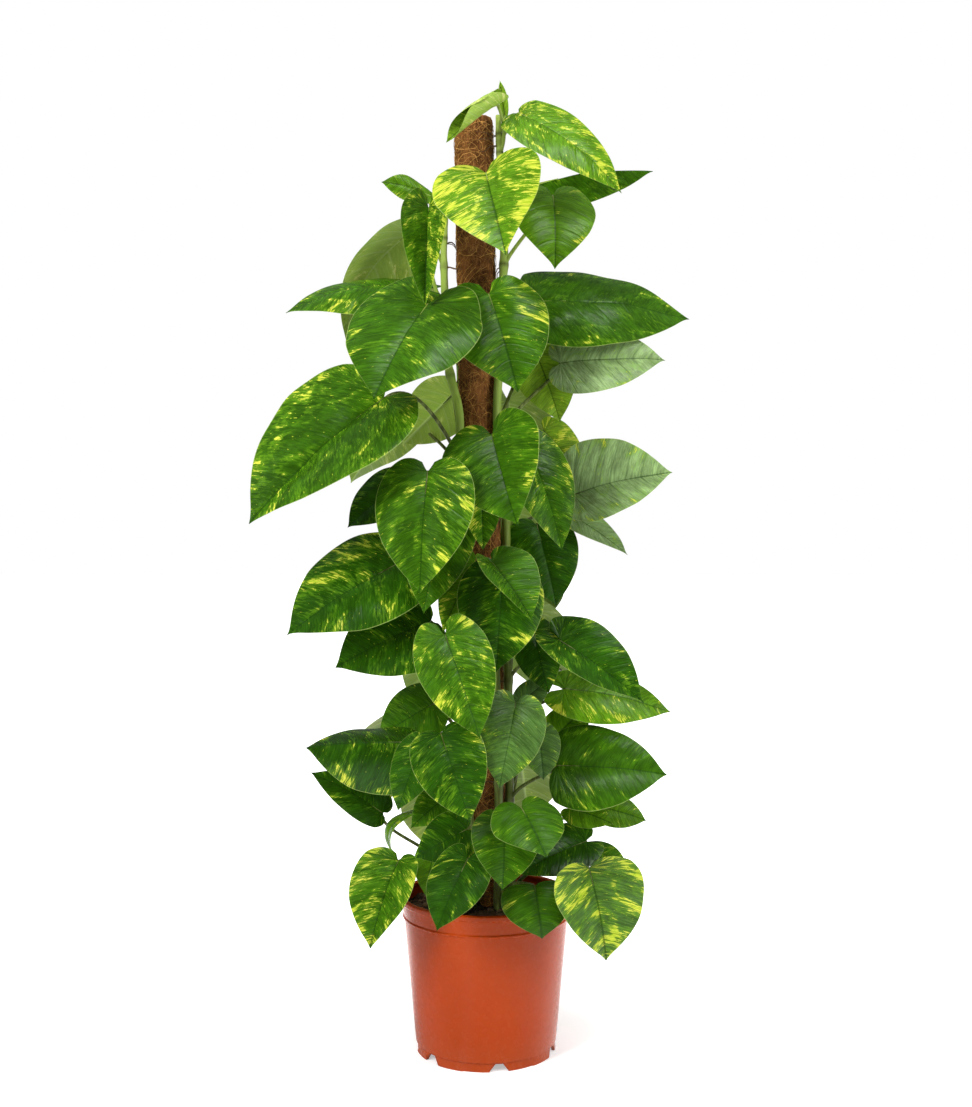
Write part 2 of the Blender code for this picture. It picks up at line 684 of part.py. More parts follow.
def build_soil():
    """The potting soil, which fills the pot round the pole and the stems."""
    foot_z = FLOOR_Z + WALL + GAP
    foot_radius = BODY_FOOT_RADIUS - WALL - 2 * GAP
    wall_slope = (COLLAR_FOOT_RADIUS - BODY_FOOT_RADIUS) / (POT_HEIGHT - COLLAR_HEIGHT - FOOT_HEIGHT)
    top_radius = foot_radius + wall_slope * (SOIL_TOP_Z - foot_z)
    profile = (
        (0.0, foot_z),
        (foot_radius, foot_z),
        (top_radius, SOIL_TOP_Z),
        (SOIL_SHOULDER * top_radius, SOIL_CROWN_Z - WALL),
        (0.0, SOIL_CROWN_Z),
    )
    material = make_material("soil", (0.022, 0.014, 0.009), 0.95)
    soil = add_object("potting_soil", *revolve(profile, POT_SEGMENTS), material)
    hole_top_z = SOIL_CROWN_Z + HOLE_MARGIN
    hole = tube([pole_axis(0.0), pole_axis(hole_top_z)], [COIR_RADIUS + 2 * GAP] * 2, POLE_SIDES)
    cut(soil, "pole_hole", *hole)
    for name, vine in VINES.items():
        foot = stem_point(vine.route, STEM_FOOT_Z - GAP)
        top = Vector((foot.x, foot.y, hole_top_z))
        cut(soil, name + "_hole", *tube([foot, top], [STEM_RADIUS + 2 * GAP] * 2, STEM_SIDES))
    shade(soil)


def build_pole():
    """The wooden stake and the coir sleeve round it."""
    heights = (POLE_FOOT_Z, LEAN_START_Z, POLE_TOP_Z)
    wood = make_material("pole_wood", (0.33, 0.20, 0.10), 0.8)
    stake = tube([pole_axis(z) for z in heights], [CORE_RADIUS] * len(heights), POLE_SIDES)
    core = add_object("pole_core", *stake, wood)
    shade(core)
    section = [(COIR_RADIUS, z) for z in heights]
    section += [(CORE_RADIUS + 2 * GAP, z) for z in reversed(heights)]
    verts, faces = revolve(section, POLE_SIDES, closed=True)
    verts = [vert + pole_axis(vert.z) - UP * vert.z for vert in verts]
    coir = make_material("coir", (0.24, 0.10, 0.035), 0.95)
    shade(add_object("coir_sleeve", verts, faces, coir))


def main():
    clear_scene()
    build_pot()
    build_soil()
    build_pole()
    green = make_material("pothos_leaf", (0.055, 0.19, 0.02), 0.35)
    for name, vine in VINES.items():
        build_vine(name, vine, green)


main()
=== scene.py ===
"""Looks of a golden pothos on a coir pole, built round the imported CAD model.

Sizes are centimetres, and they are turned into metres where a mesh is made.
The pot's axis is Z, the pot stands on Z = 0, and the side that faces -Y is the front.
"""
import math
import random
from dataclasses import dataclass

import bmesh
import bpy
import numpy as np
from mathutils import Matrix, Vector, noise
from mathutils.geometry import interpolate_bezier


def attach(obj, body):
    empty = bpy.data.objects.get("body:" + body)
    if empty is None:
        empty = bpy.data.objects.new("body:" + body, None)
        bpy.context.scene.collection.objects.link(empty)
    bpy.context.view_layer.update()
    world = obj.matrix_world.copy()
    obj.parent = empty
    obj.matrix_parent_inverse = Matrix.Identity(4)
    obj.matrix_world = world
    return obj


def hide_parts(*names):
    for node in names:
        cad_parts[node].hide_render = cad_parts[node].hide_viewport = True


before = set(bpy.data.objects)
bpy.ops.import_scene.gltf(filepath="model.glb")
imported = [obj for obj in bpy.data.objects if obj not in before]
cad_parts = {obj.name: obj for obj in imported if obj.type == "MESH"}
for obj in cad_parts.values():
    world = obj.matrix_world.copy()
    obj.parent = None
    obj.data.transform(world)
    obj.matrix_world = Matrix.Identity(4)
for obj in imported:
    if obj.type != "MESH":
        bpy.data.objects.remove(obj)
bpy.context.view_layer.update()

CM = 0.01
UP = Vector((0.0, 0.0, 1.0))
GAP = 0.03

# Pot
POT_SEGMENTS = 144
POT_HEIGHT = 16.7
RIM_RADIUS = 9.5
RIM_HEIGHT = 0.5
RIM_WIDTH = 0.55
RIM_BEVEL = 0.1
GROOVE_WIDTH = 0.1
GROOVE_DEPTH = 0.14
LIP_WIDTH = 0.2
LIP_DEPTH = 0.3
COLLAR_TOP_RADIUS = 9.3
COLLAR_FOOT_RADIUS = 8.97
COLLAR_HEIGHT = 2.3
RIDGE_RADIUS = 9.08
RIDGE_HEIGHT = 0.12
BODY_TOP_RADIUS = 8.9
BODY_FOOT_RADIUS = 7.64
FOOT_RADIUS = 7.43
FOOT_HEIGHT = 1.0
FOOT_THICKNESS = 0.22
FOOT_STEP = 0.14
WALL = 0.15
FLOOR_Z = 0.95
CORNER_RADIUS = 0.06
CORNER_STEPS = 3
CORNER_SHARE = 0.45
NOTCH_COUNT = 6
NOTCH_PHASE = 10.6
NOTCH_FOOT_WIDTH = 2.1
NOTCH_TOP_WIDTH = 0.8
NOTCH_HEIGHT = 0.85
NOTCH_MARGIN = 0.2
DRAIN_RADIUS = 0.5
DRAIN_CIRCLE = 5.6
DRAIN_SIDES = 32

# Potting soil, whose surface is the sum of lumps given by (height, rate)
SOIL_TOP_Z = 15.4
SOIL_CROWN_Z = 15.8
SOIL_CROWN_RADIUS = 8.7
SOIL_SETTLING = 0.1
SOIL_LUMPS = ((0.28, 0.7), (0.16, 2.3), (0.07, 6.0))
SOIL_RINGS = 46
SOIL_SEGMENTS = 128
CRUMB_COUNT = 700
CRUMB_SIZE = 0.08
CRUMB_SPREAD = 0.3

# Coir pole: a mat with its own lumps, and loose fibres
POLE_TOP_Z = 101.0
COIR_RADIUS = 2.15
CORE_RADIUS = 1.25
POLE_FOOT_X = 0.16
LEAN_START_Z = 16.0
POLE_LEAN = -0.018
MAT_FOOT_Z = 1.2
MAT_STEP = 0.3
MAT_SEGMENTS = 80
MAT_SINK = 0.08
MAT_LUMPS = ((0.1, 1.1), (0.06, 4.0))
FIBRE_COUNT = 4200
FIBRE_POINTS = 6
FIBRE_SINK = 0.06
FREE_SHARE = 0.05
FREE_LIFT = 0.5

# Stems, petioles and aerial roots
STEM_SIDES = 16
STEM_RADIUS = 0.45
STEM_TIP_RADIUS = 0.28
STEM_TAPER_LENGTH = 12.0
STEM_FOOT_Z = 11.0
STEM_STEP = 0.4
NODE_SWELLING = 0.22
NODE_LENGTH = 0.5
RING_LENGTH = 0.22
PETIOLE_SIDES = 10
PETIOLE_STEPS = 22
PETIOLE_RADIUS = 0.22
PETIOLE_END_RADIUS = 0.15
SHEATH_SWELLING = 0.5
SHEATH_LENGTH = 0.06
JOINT_SWELLING = 0.15
JOINT_PLACE = 0.93
JOINT_LENGTH = 0.04
PETIOLE_OUTWARD = 0.5
PETIOLE_RISE = 0.8
PETIOLE_LEAVE = 0.4
PETIOLE_ARRIVE = 0.35
# Where a petiole runs on under the midrib: place along it, drop below it and share of its thickness
MIDRIB_RUN = ((0.04, 0.09, 0.8), (0.1, 0.06, 0.5), (0.2, 0.03, 0.2))
ROOTS_PER_LEAF = 2
ROOT_STEPS = 9
ROOT_SIDES = 6
ROOT_LIFT = 0.12
ROOT_TAPER = 0.6

# Leaf blade
BLADE_ROWS = 54
BLADE_COLUMNS = (0.0, 0.03, 0.07, 0.14, 0.23, 0.35, 0.49, 0.64, 0.79, 0.91, 0.975, 1.0)
VEIN_SLOPE = 0.55
VEIN_ARCH = 1.25
VEIN_COUNT = 11
HALF_WIDTH = 0.44
WAVE = 0.012
WAVE_RATE = 9.0
WAVE_PHASE = 3.0
WAVE_SIDE_SHIFT = 2.0
STRAIGHT = 1e-4
HALF_THICKNESS = 0.022
MARGIN_THINNING = 0.75
QUILT = 0.02
QUILT_LENGTH = 12.0
DRIFT = 0.22
DRIFT_RATE = 0.22
CHANNEL = 0.035
RIB = 0.10
RIB_WIDTH = 0.12
OUTLINE = (
    (0.055, -0.115), (0.14, -0.16), (0.24, -0.145), (0.34, -0.05), (0.41, 0.07),
    (0.44, 0.19), (0.44, 0.32), (0.41, 0.45), (0.36, 0.58), (0.29, 0.69),
    (0.21, 0.79), (0.125, 0.875), (0.055, 0.935), (0.016, 0.975), (0.0, 1.0),
)
OUTLINE_STEPS = 24

# Colours are linear RGB. First the greens of the blades, then what is mixed with them
# The grey and silver greens hold painted sheen: their whitish grey stands in for light mirrored by the glossy
# blade.
TONES = {
    "deep": (0.018, 0.070, 0.002),
    "mid": (0.034, 0.108, 0.003),
    "fresh": (0.075, 0.190, 0.005),
    "lime": (0.190, 0.340, 0.020),
    "grey": (0.060, 0.130, 0.024),
    "silver": (0.210, 0.320, 0.120),
}
HALO = (0.13, 0.30, 0.010)
FLECK_LIME = (0.27, 0.42, 0.015)
FLECK_YELLOW = (0.66, 0.64, 0.07)
# Painted shade: dark lines in the grooves along the side veins and in the channel over the midrib.
VEIN_GROOVE_SHADE = (0.012, 0.045, 0.002)
MIDRIB_GROOVE_SHADE = (0.010, 0.04, 0.002)
MARGIN_PALE = (0.34, 0.44, 0.12)
# The underside's own paler green, lightened further by painted light that stands in for light shining through
# the blade.
UNDER_PALE_AND_THROUGH_LIGHT = (0.33, 0.47, 0.08)
UNDER_HALO = (0.38, 0.50, 0.07)
UNDER_STREAK = (0.12, 0.22, 0.02)
UNDER_FLECK = (0.62, 0.66, 0.20)
UNDER_VEIN = (0.42, 0.52, 0.20)
UNDER_MIDRIB = (0.38, 0.50, 0.16)

# Colours of the stems and the petioles by height, each as (height, red, green, blue)
STEM_COLORS = (
    (12.0, 0.05, 0.06, 0.012),
    (55.0, 0.12, 0.17, 0.022),
    (75.0, 0.22, 0.33, 0.05),
    (92.0, 0.36, 0.48, 0.09),
)
PETIOLE_COLORS = (
    (24.0, 0.05, 0.065, 0.01),
    (62.0, 0.045, 0.055, 0.009),
    (80.0, 0.19, 0.28, 0.03),
    (92.0, 0.34, 0.46, 0.08),
)
STEM_FIBRE = (0.28, 0.36, 0.10)
STEM_SHADE = (0.03, 0.06, 0.012)
RING_COLOR = (0.035, 0.028, 0.012)
ROOT_COLOR = (0.12, 0.065, 0.03)

# Darker and lighter colours of the other materials, and what shows in them
COIR_COLORS = (0.065, 0.024, 0.006), (0.19, 0.075, 0.020)
COIR_STRAND = (0.34, 0.15, 0.045)
FIBRE_COLORS = (0.16, 0.060, 0.012), (0.85, 0.46, 0.12)
WOOD_COLORS = (0.42, 0.26, 0.12), (0.26, 0.14, 0.06)
POT_COLORS = (0.38, 0.043, 0.002), (0.40, 0.047, 0.003)
POT_DUST = (0.55, 0.20, 0.09)
SOIL_COLORS = (0.010, 0.006, 0.004), (0.060, 0.034, 0.018)
SOIL_BITS = (0.20, 0.12, 0.06)
CRUMB_COLORS = (0.014, 0.009, 0.006), (0.14, 0.085, 0.045)
WHITE = (1.0, 1.0, 1.0)
PAPER = (0.82, 0.82, 0.82)

# Studio, in metres
CAMERA_DISTANCE = 1.40
CAMERA_HEIGHT = 0.537
CAMERA_LENS = 41.69
CAMERA_SENSOR = 36.0
FLOOR_REACH = 30.0
FRONT_LIGHT = 0.07
BACK_LIGHT = 0.6
GLOSS_LIGHT = 0.35

# Softboxes: name, place, height of the target, size and power. The sheens show only as highlights
LAMPS = (
    ("key", (-1.3, -1.5, 1.4), 0.55, (0.5, 1.3), 45.0),
    ("side", (1.6, -0.9, 0.9), 0.5, (0.3, 1.4), 22.0),
    ("top", (0.2, 0.1, 3.3), 0.6, (0.9, 0.6), 52.0),
    ("sheen_high", (0.5, -1.0, 2.6), 0.8, (1.3, 0.5), 20.0),
    ("sheen_right", (1.6, -0.9, 0.9), 0.5, (0.6, 1.4), 9.0),
)


@dataclass
class Leaf:
    """One leaf, from the node of its stem to the tip of its blade, and its look.

    tone is its green, fleck is the share of yellow, and lean says which half has more of it. The grey and
    silver tones hold painted sheen.
    yaw and pitch say where its upper face looks: yaw 0 is the front, and pitch 90 is straight up.
    fold is each half's rise at the midrib, and bend is how far the half turns down towards its margin.
    lobe is how far the two lobes reach back past the base.
    """

    node_z: float
    base: tuple
    tip: tuple
    tone: str
    fleck: float
    yaw: float = 0.0
    pitch: float = 30.0
    width: float = 1.0
    arch: float = 0.05
    fold: float = 16.0
    bend: float = 38.0
    twist: float = 0.0
    lobe: float = 1.0
    turn: float = 0.8
    lean: float = 0.0


class Vine:
    """A stem's route, as (height, angle round the pole, distance from its axis), and its leaves."""

    def __init__(self, route, *leaves):
        self.route = route
        self.leaves = leaves


VINES = {
    "vine_left": Vine(
        ((16, -72, 2.8), (56, -74, 2.8), (68, -46, 2.8), (76, -78, 3.4), (86, -84, 3.5), (92, -80, 3.2)),
        Leaf(88, (-6, -2, 92.2), (-11.2, -3, 93.4), "fresh", 0.3,
             yaw=-10, pitch=50, width=0.75, twist=60, bend=80),
        Leaf(85, (-6.1, -3.5, 90.5), (-6.2, -9.3, 78.8), "mid", 0.45,
             yaw=-5, pitch=20, width=0.6, fold=50, bend=10, lean=-0.4),
        Leaf(80, (-8.5, 3, 89.5), (-15.8, 5, 77.5), "lime", 0.3,
             yaw=-140, pitch=35, width=0.7, arch=0.2, fold=-10, bend=30),
        Leaf(77, (-7, -1, 82.5), (-21.5, -2, 79.5), "mid", 0.25,
             pitch=55, width=0.75, arch=0.1, fold=5, bend=60),
        Leaf(73, (-6, -8, 79.4), (-11, -15, 68.8), "mid", 0.12, yaw=-5, pitch=35, width=1.17, lobe=1.8),
        Leaf(64, (-10.5, -7.5, 69.8), (-23.9, -11, 56.7), "mid", 0.3,
             yaw=-20, pitch=34, width=0.93, fold=26, lobe=0.6, turn=0.1),
        Leaf(57, (-5.9, -10.5, 62), (-6.5, -13.5, 49.7), "mid", 0.26,
             yaw=-10, pitch=20, width=0.92, lobe=0.7, lean=-0.3),
        Leaf(52, (-4.3, -5.5, 58.5), (-6.4, -9, 47.5), "mid", 0.12, pitch=20, width=0.75),
        Leaf(57, (-0.5, -6.5, 61), (-0.3, -8.5, 54), "mid", 0.35, pitch=20, width=0.65, lean=0.3),
        Leaf(48, (-9, -4.5, 52.8), (-20.3, -9, 45.3), "deep", 0.3, yaw=-15, width=0.96, lean=0.3),
        Leaf(41, (-5.8, -3.8, 46.5), (-15.8, -6, 41.8), "deep", 0.24, yaw=-10, pitch=25, lobe=0.4),
        Leaf(34, (-5.8, 0.4, 37.2), (-11.8, 0.6, 33.5), "mid", 0.1, yaw=-15, pitch=15, width=1.1),
        Leaf(29, (-8, -6.3, 34), (-18.8, -6.3, 33.4), "deep", 0.22,
             yaw=-10, pitch=40, width=1.2, fold=-28, bend=22, lobe=0.4),
        Leaf(27, (-6.5, -8.5, 34), (-9, -9.5, 27.5), "deep", 0.14, yaw=-15, pitch=20, width=0.8),
        Leaf(24, (-8.5, -2, 30.5), (-11, -2.5, 27.4), "lime", 1.0, yaw=-10, pitch=20, width=0.9),
        Leaf(20, (-7.9, -4.5, 26.3), (-9.4, -5.5, 21.8), "fresh", 0.2,
             yaw=-70, pitch=10, width=0.8, arch=0.35),
        Leaf(18, (-11, -4, 26.2), (-18.6, -4, 30.5), "deep", 0.05, yaw=-20, pitch=50, width=0.65, lobe=0.5),
        Leaf(17, (-9, -8, 22.1), (-11.7, -11, 13.9), "mid", 0.42,
             yaw=-28, pitch=20, fold=28, bend=12, lobe=0.6),
    ),
    "vine_right": Vine(
        ((16, 64, 2.8), (45, 75, 2.8), (56, 82, 2.8), (68, 44, 2.8), (78, 60, 2.9), (87, 74, 3.2),
         (101, 60, 3.1)),
        Leaf(97, (1.2, -3.5, 101.6), (-4.2, -5, 97), "lime", 0.35, width=0.8, fold=20, bend=-190),
        Leaf(99, (2, -1, 101.5), (1.5, -1, 105), "lime", 0.05, pitch=10, width=0.5, fold=50, bend=0),
        Leaf(98, (3.5, -1.2, 101.4), (14.5, -3, 92.2), "fresh", 0.5,
             pitch=38, width=0.6, arch=0.08, fold=8, lobe=0.2, lean=-0.2),
        Leaf(90, (0, -6, 93.5), (2, -12, 83.5), "fresh", 0.68,
             yaw=-18, pitch=32, width=1.15, fold=28, bend=22, lobe=0.7),
        Leaf(88, (5.5, 3, 94.9), (18.5, 2, 96), "mid", 0.12, pitch=45, width=0.62, fold=-42, bend=5),
        Leaf(85, (7.2, -1.8, 92.3), (7.2, -6, 83.4), "fresh", 0.14,
             yaw=5, pitch=40, width=1.05, arch=0.12, lobe=1.2),
        Leaf(75, (0.3, -5, 81), (3.3, -8, 70.3), "mid", 0.22, yaw=5, pitch=25, width=1.12, lean=-0.2),
        Leaf(78, (5, 0.5, 81.3), (23.1, 6, 80.3), "mid", 0.1,
             pitch=33, width=0.7, arch=0.06, fold=4, bend=45, lobe=0.3),
        Leaf(66, (8.2, 1.5, 74.7), (19.7, 1, 74.9), "silver", 0.12, yaw=10, width=0.9, lobe=0.7),
        Leaf(60, (0.6, -7.5, 66), (3.2, -11.5, 56.5), "mid", 0.25,
             yaw=-30, pitch=28, width=1.22, fold=30, bend=20),
        Leaf(58, (4.4, -4.5, 65), (7.9, -7, 54), "mid", 0.25, yaw=20, pitch=20, width=0.7),
        Leaf(52, (5.6, 0.6, 56.8), (7.6, -1.2, 48), "deep", 0.05, yaw=5, pitch=20, width=0.98, lobe=0.7),
        Leaf(42, (5, -3.4, 45.5), (6.6, -5.5, 39), "deep", 0.16, yaw=-10, pitch=20, width=0.85),
        Leaf(40, (7.7, -5, 44.6), (16.2, -8, 38.3), "deep", 0.16,
             yaw=10, pitch=40, width=0.78, fold=26, bend=16, lobe=1.2),
        Leaf(35, (8.5, -0.5, 39), (20, -1.5, 36.6), "fresh", 0.32,
             yaw=10, pitch=45, width=0.75, fold=4, lean=0.3),
        Leaf(27, (7.6, -4, 31.2), (19.1, -5, 30.4), "mid", 0.08,
             yaw=10, pitch=32, width=0.98, lobe=0.4, lean=0.4),
        Leaf(19, (10.5, -5.5, 23.5), (3, -7.5, 20.5), "deep", 0.1, pitch=50, width=0.85),
        Leaf(17, (10.5, -9, 21.6), (12.1, -11, 12.7), "grey", 0.55,
             yaw=25, pitch=25, width=1.3, fold=24, bend=16, lobe=0.5),
        Leaf(18, (11.5, -3, 22), (15, -4, 20.5), "mid", 0.3, yaw=20, pitch=40, width=0.9),
    ),
    "vine_back_left": Vine(
        ((16, -140, 2.8), (40, -150, 2.8), (80, -135, 2.9)),
        Leaf(75, (-8, 6, 83), (-10.5, 11, 76), "mid", 0.2, yaw=-155),
        Leaf(66, (-3.8, 4, 71.5), (-9.4, 5, 66), "lime", 0.3, yaw=170, pitch=20),
        Leaf(62, (-9, 7.5, 69.5), (-16, 12, 62), "mid", 0.2, yaw=-135),
        Leaf(56, (-9, 0, 61.5), (-15, -1, 56.5), "deep", 0.08, yaw=-20, pitch=20, width=0.9),
        Leaf(54, (-3, 10, 60), (-4, 17, 49), "mid", 0.2, yaw=-170),
        Leaf(46, (-9, 8, 51), (-16, 13, 43), "mid", 0.3, yaw=-135),
        Leaf(38, (-4, 10, 43), (-6, 17, 33), "mid", 0.2, yaw=-165),
        Leaf(29, (-9, 8, 35), (-15, 12, 27), "deep", 0.2, yaw=-135),
        Leaf(19, (-5, 10, 27), (-7, 15, 18), "deep", 0.2, yaw=-160),
    ),
    "vine_back_right": Vine(
        ((16, 140, 2.8), (50, 128, 2.8), (84, 140, 2.9)),
        Leaf(76, (4, 7, 82), (6, 14, 72), "mid", 0.2, yaw=165),
        Leaf(68, (5.4, 3.4, 76.6), (8.2, 2.2, 68.2), "lime", 0.3, yaw=10, pitch=20, width=0.95, lean=0.3),
        Leaf(67, (2.5, 8, 71.5), (3, 15, 62), "mid", 0.3, yaw=170),
        Leaf(61, (6.5, 4.2, 67.5), (11, 4.2, 62), "lime", 0.5, yaw=10, pitch=25, width=0.9),
        Leaf(58, (3, 10, 64), (4, 17, 53), "mid", 0.2, yaw=170),
        Leaf(55, (9.7, 2, 60.2), (20.5, 1, 62.6), "silver", 0.15,
             yaw=10, pitch=33, width=1.15, fold=26, bend=12),
        Leaf(54, (8.3, 2, 58.5), (15.4, 0, 53.5), "silver", 0.15, yaw=10, pitch=60, width=0.7, lobe=0.4),
        Leaf(48, (4, 9, 54), (6, 15, 44.5), "mid", 0.2, yaw=155),
        Leaf(41, (4, 10, 47), (6, 17, 37), "mid", 0.2, yaw=165),
        Leaf(33, (8.5, 8, 40.5), (14, 12.5, 34.5), "mid", 0.3, yaw=135),
        Leaf(28, (7.5, 1, 33.5), (11.5, 2, 37), "fresh", 0.1, yaw=10),
        Leaf(23, (4, 10, 30), (5, 16, 21), "deep", 0.2, yaw=170),
        Leaf(25, (5, 1.5, 31.5), (8.5, 2, 30), "fresh", 0.6, yaw=10, width=0.9),
        Leaf(20, (9, -3, 26.5), (13.5, -4, 25), "fresh", 0.2, yaw=10, pitch=35, width=0.9),
        Leaf(20, (12.5, 0, 26), (17.5, 0, 24.5), "fresh", 0.2, yaw=10, pitch=35, width=0.9),
    ),
    "vine_front_left": Vine(
        ((16, -34, 2.8), (30, -42, 2.8), (50, -38, 2.8)),
        Leaf(40, (-4.1, -11, 45.5), (-0.6, -14, 35.5), "mid", 0.3, pitch=20, width=0.82),
        Leaf(47, (-1.2, -4.2, 52.5), (-4.5, -6.5, 45.5), "fresh", 0.4, yaw=-10, pitch=20, width=0.7),
        Leaf(31, (-4.5, -12, 35.7), (-1.5, -15, 27.5), "deep", 0.18,
             yaw=-5, pitch=20, width=0.93, lobe=0.5),
        Leaf(18, (-5.3, -5.5, 23), (-6.3, -7.3, 18.3), "fresh", 0.05, yaw=-10, pitch=20, width=0.85),
        Leaf(23, (-3, -5.5, 29), (-7.8, -7.5, 25.3), "mid", 0.2, yaw=-10, pitch=35, width=0.9),
        Leaf(20, (-2, -8.5, 25.4), (-7.1, -10, 22.8), "deep", 0.1, yaw=-5, pitch=25, width=1.05),
        Leaf(17, (-1.8, -11.8, 23.2), (-4.8, -15, 16.9), "deep", 0.12, yaw=-20, width=0.95),
    ),
    "vine_front_right": Vine(
        ((16, 24, 2.8), (30, 31, 2.8), (48, 30, 2.8)),
        Leaf(46, (0.6, -8.5, 52.8), (4.6, -11, 47), "mid", 0.12,
             yaw=35, pitch=20, width=1.1, fold=32, bend=12),
        Leaf(35, (3.7, -4.5, 38), (7, -4.5, 40.6), "grey", 0.05, yaw=5, pitch=20, width=0.8),
        Leaf(44, (1.7, -6, 51.5), (1, -9, 41.5), "deep", 0.2, yaw=5, pitch=20, lean=-0.4),
        Leaf(33, (3, -10, 38.5), (1.3, -13, 30.4), "grey", 0.16,
             yaw=5, pitch=20, width=0.9, lobe=0.8, lean=0.2),
        Leaf(29, (5.5, -5, 35), (6, -6, 30), "grey", 0.1, yaw=10, pitch=20),
        Leaf(23, (3.5, -13, 28.5), (5.8, -17.3, 24.6), "mid", 0.06, yaw=15, pitch=35, width=1.4, lobe=1.2),
        Leaf(20, (1.9, -10.5, 26.6), (1.6, -14, 20.6), "mid", 0.14,
             yaw=10, pitch=25, width=1.15, fold=20, bend=20, lean=-0.2),
        Leaf(16.5, (4.9, -10, 20), (5.6, -12, 15.2), "mid", 0.04,
             yaw=5, pitch=35, width=1.65, arch=0.12, lobe=0.4),
    ),
}


class Shader:
    """A node tree that is built by short calls."""

    def __init__(self, tree):
        self.tree = tree

    def fill(self, socket, value):
        """Set an input, or link it to another node's output. Colours are given without their alpha."""
        if isinstance(value, bpy.types.NodeSocket):
            self.tree.links.new(value, socket)
        elif socket.type == "RGBA":
            socket.default_value = (*value, 1.0)
        else:
            socket.default_value = value

    def node(self, kind, inputs=None, **settings):
        """A node with its settings and inputs."""
        made = self.tree.nodes.new("ShaderNode" + kind)
        for name, value in settings.items():
            setattr(made, name, value)
        for key, value in (inputs or {}).items():
            self.fill(made.inputs[key], value)
        return made

    def math(self, operation, *values):
        """The result of one operation."""
        return self.node("Math", dict(enumerate(values)), operation=operation).outputs[0]

    def chain(self, operation, first, *others):
        """Values joined two by two with an operation."""
        for other in others:
            first = self.math(operation, first, other)
        return first

    def plus(self, *values):
        """A sum."""
        return self.chain("ADD", *values)

    def times(self, *values):
        """A product."""
        return self.chain("MULTIPLY", *values)

    def largest(self, *values):
        """The largest of some values."""
        return self.chain("MAXIMUM", *values)

    def mix(self, factor, first, second):
        """A mix of two colours."""
        return self.node("Mix", {0: factor, 6: first, 7: second}, data_type="RGBA").outputs[2]

    def step(self, value, low, high, first=0.0, second=1.0):
        """A smooth step of a value from low to high."""
        inputs = {0: value, 1: low, 2: high, 3: first, 4: second}
        return self.node("MapRange", inputs, interpolation_type="SMOOTHSTEP").outputs[0]

    def noise(self, vector, scale, detail=4.0, roughness=0.55, distortion=0.0):
        """The value of a noise texture."""
        inputs = {"Vector": vector, "Scale": scale, "Detail": detail}
        inputs |= {"Roughness": roughness, "Distortion": distortion}
        return self.node("TexNoise", inputs).outputs[0]

    def scaled(self, color, scale):
        """A colour made brighter or darker."""
        return self.node("VectorMath", {0: color, 3: scale}, operation="SCALE").outputs[0]

    def values(self, vector):
        """The three values of a vector."""
        return self.node("SeparateXYZ", {0: vector}).outputs

    def attribute(self, name, output):
        """A mesh attribute, as its Vector or its Color."""
        return self.node("Attribute", attribute_name=name).outputs[output]

    def place(self):
        """A point's place on its object, in metres."""
        return self.node("TexCoord").outputs["Object"]

    def mapped(self, scale, turn=(0.0, 0.0, 0.0)):
        """The place, turned and scaled."""
        return self.node("Mapping", {0: self.place(), 2: turn, 3: scale}).outputs[0]


class Material(Shader):
    """A Principled material. made is what a mesh takes."""

    def __init__(self, name, roughness, specular):
        self.made = bpy.data.materials.new(name)
        self.made.use_nodes = True
        super().__init__(self.made.node_tree)
        self.set("Roughness", roughness)
        self.set("Specular IOR Level", specular)

    def set(self, name, value):
        """Fill one input of the shader."""
        self.fill(self.tree.nodes["Principled BSDF"].inputs[name], value)

    def bump(self, height, strength, distance):
        """Drive the shader's normal from a height."""
        inputs = {"Height": height, "Strength": strength, "Distance": distance}
        self.set("Normal", self.node("Bump", inputs).outputs[0])


class BladeMaterial(Material):
    """A material of the blades.

    vein holds the distance from the midrib, the row from base to tip and the leaf's seed.
    blade holds the place from midrib to margin and the share of yellow.
    """

    def __init__(self, name, roughness, specular):
        super().__init__(name, roughness, specular)
        self.vein = self.values(self.attribute("vein", "Vector"))
        self.blade = self.values(self.attribute("blade", "Vector"))
        self.tint = self.attribute("tint", "Color")

    def along(self, across_scale, row_scale):
        """A place on the blade that runs slowly along the side veins and fast across them."""
        across = self.times(self.vein[0], across_scale)
        row = self.times(self.vein[1], row_scale)
        return self.node("CombineXYZ", {0: across, 1: row, 2: self.vein[2]}).outputs[0]

    def lines(self, width):
        """A line of the given width, in rows, along each side vein."""
        cycle = self.math("FRACT", self.times(self.vein[1], VEIN_COUNT))
        off = self.math("ABSOLUTE", self.math("SUBTRACT", cycle, 0.5))
        return self.step(off, 0.5 - width, 0.5)

    def midrib(self, inner, outer):
        """A band along the midrib, which fades between two distances from it."""
        return self.step(self.math("ABSOLUTE", self.vein[0]), inner, outer, 0.6, 0.0)

    def flecks(self):
        """How yellow the blade is, how limey round its flecks, and the fine streaks in them."""
        patch = self.noise(self.along(0.35, 9.0), 1.0, 4.0, 0.55, 1.2)
        streak = self.noise(self.along(0.9, 110.0), 1.0, 6.0, 0.65, 0.8)
        speck = self.noise(self.along(2.2, 150.0), 1.0, 2.0)
        margin = self.step(self.blade[0], 0.3, 1.0, -0.02, 0.03)
        share = self.blade[1]
        level = self.plus(self.times(patch, 0.6), self.times(streak, 0.4), self.times(share, 0.2), margin)
        speck = self.plus(speck, self.times(share, 0.08))
        yellow = self.largest(self.step(level, 0.65, 0.67), self.step(speck, 0.73, 0.76))
        return yellow, self.step(level, 0.54, 0.65, 0.0, 0.5), streak


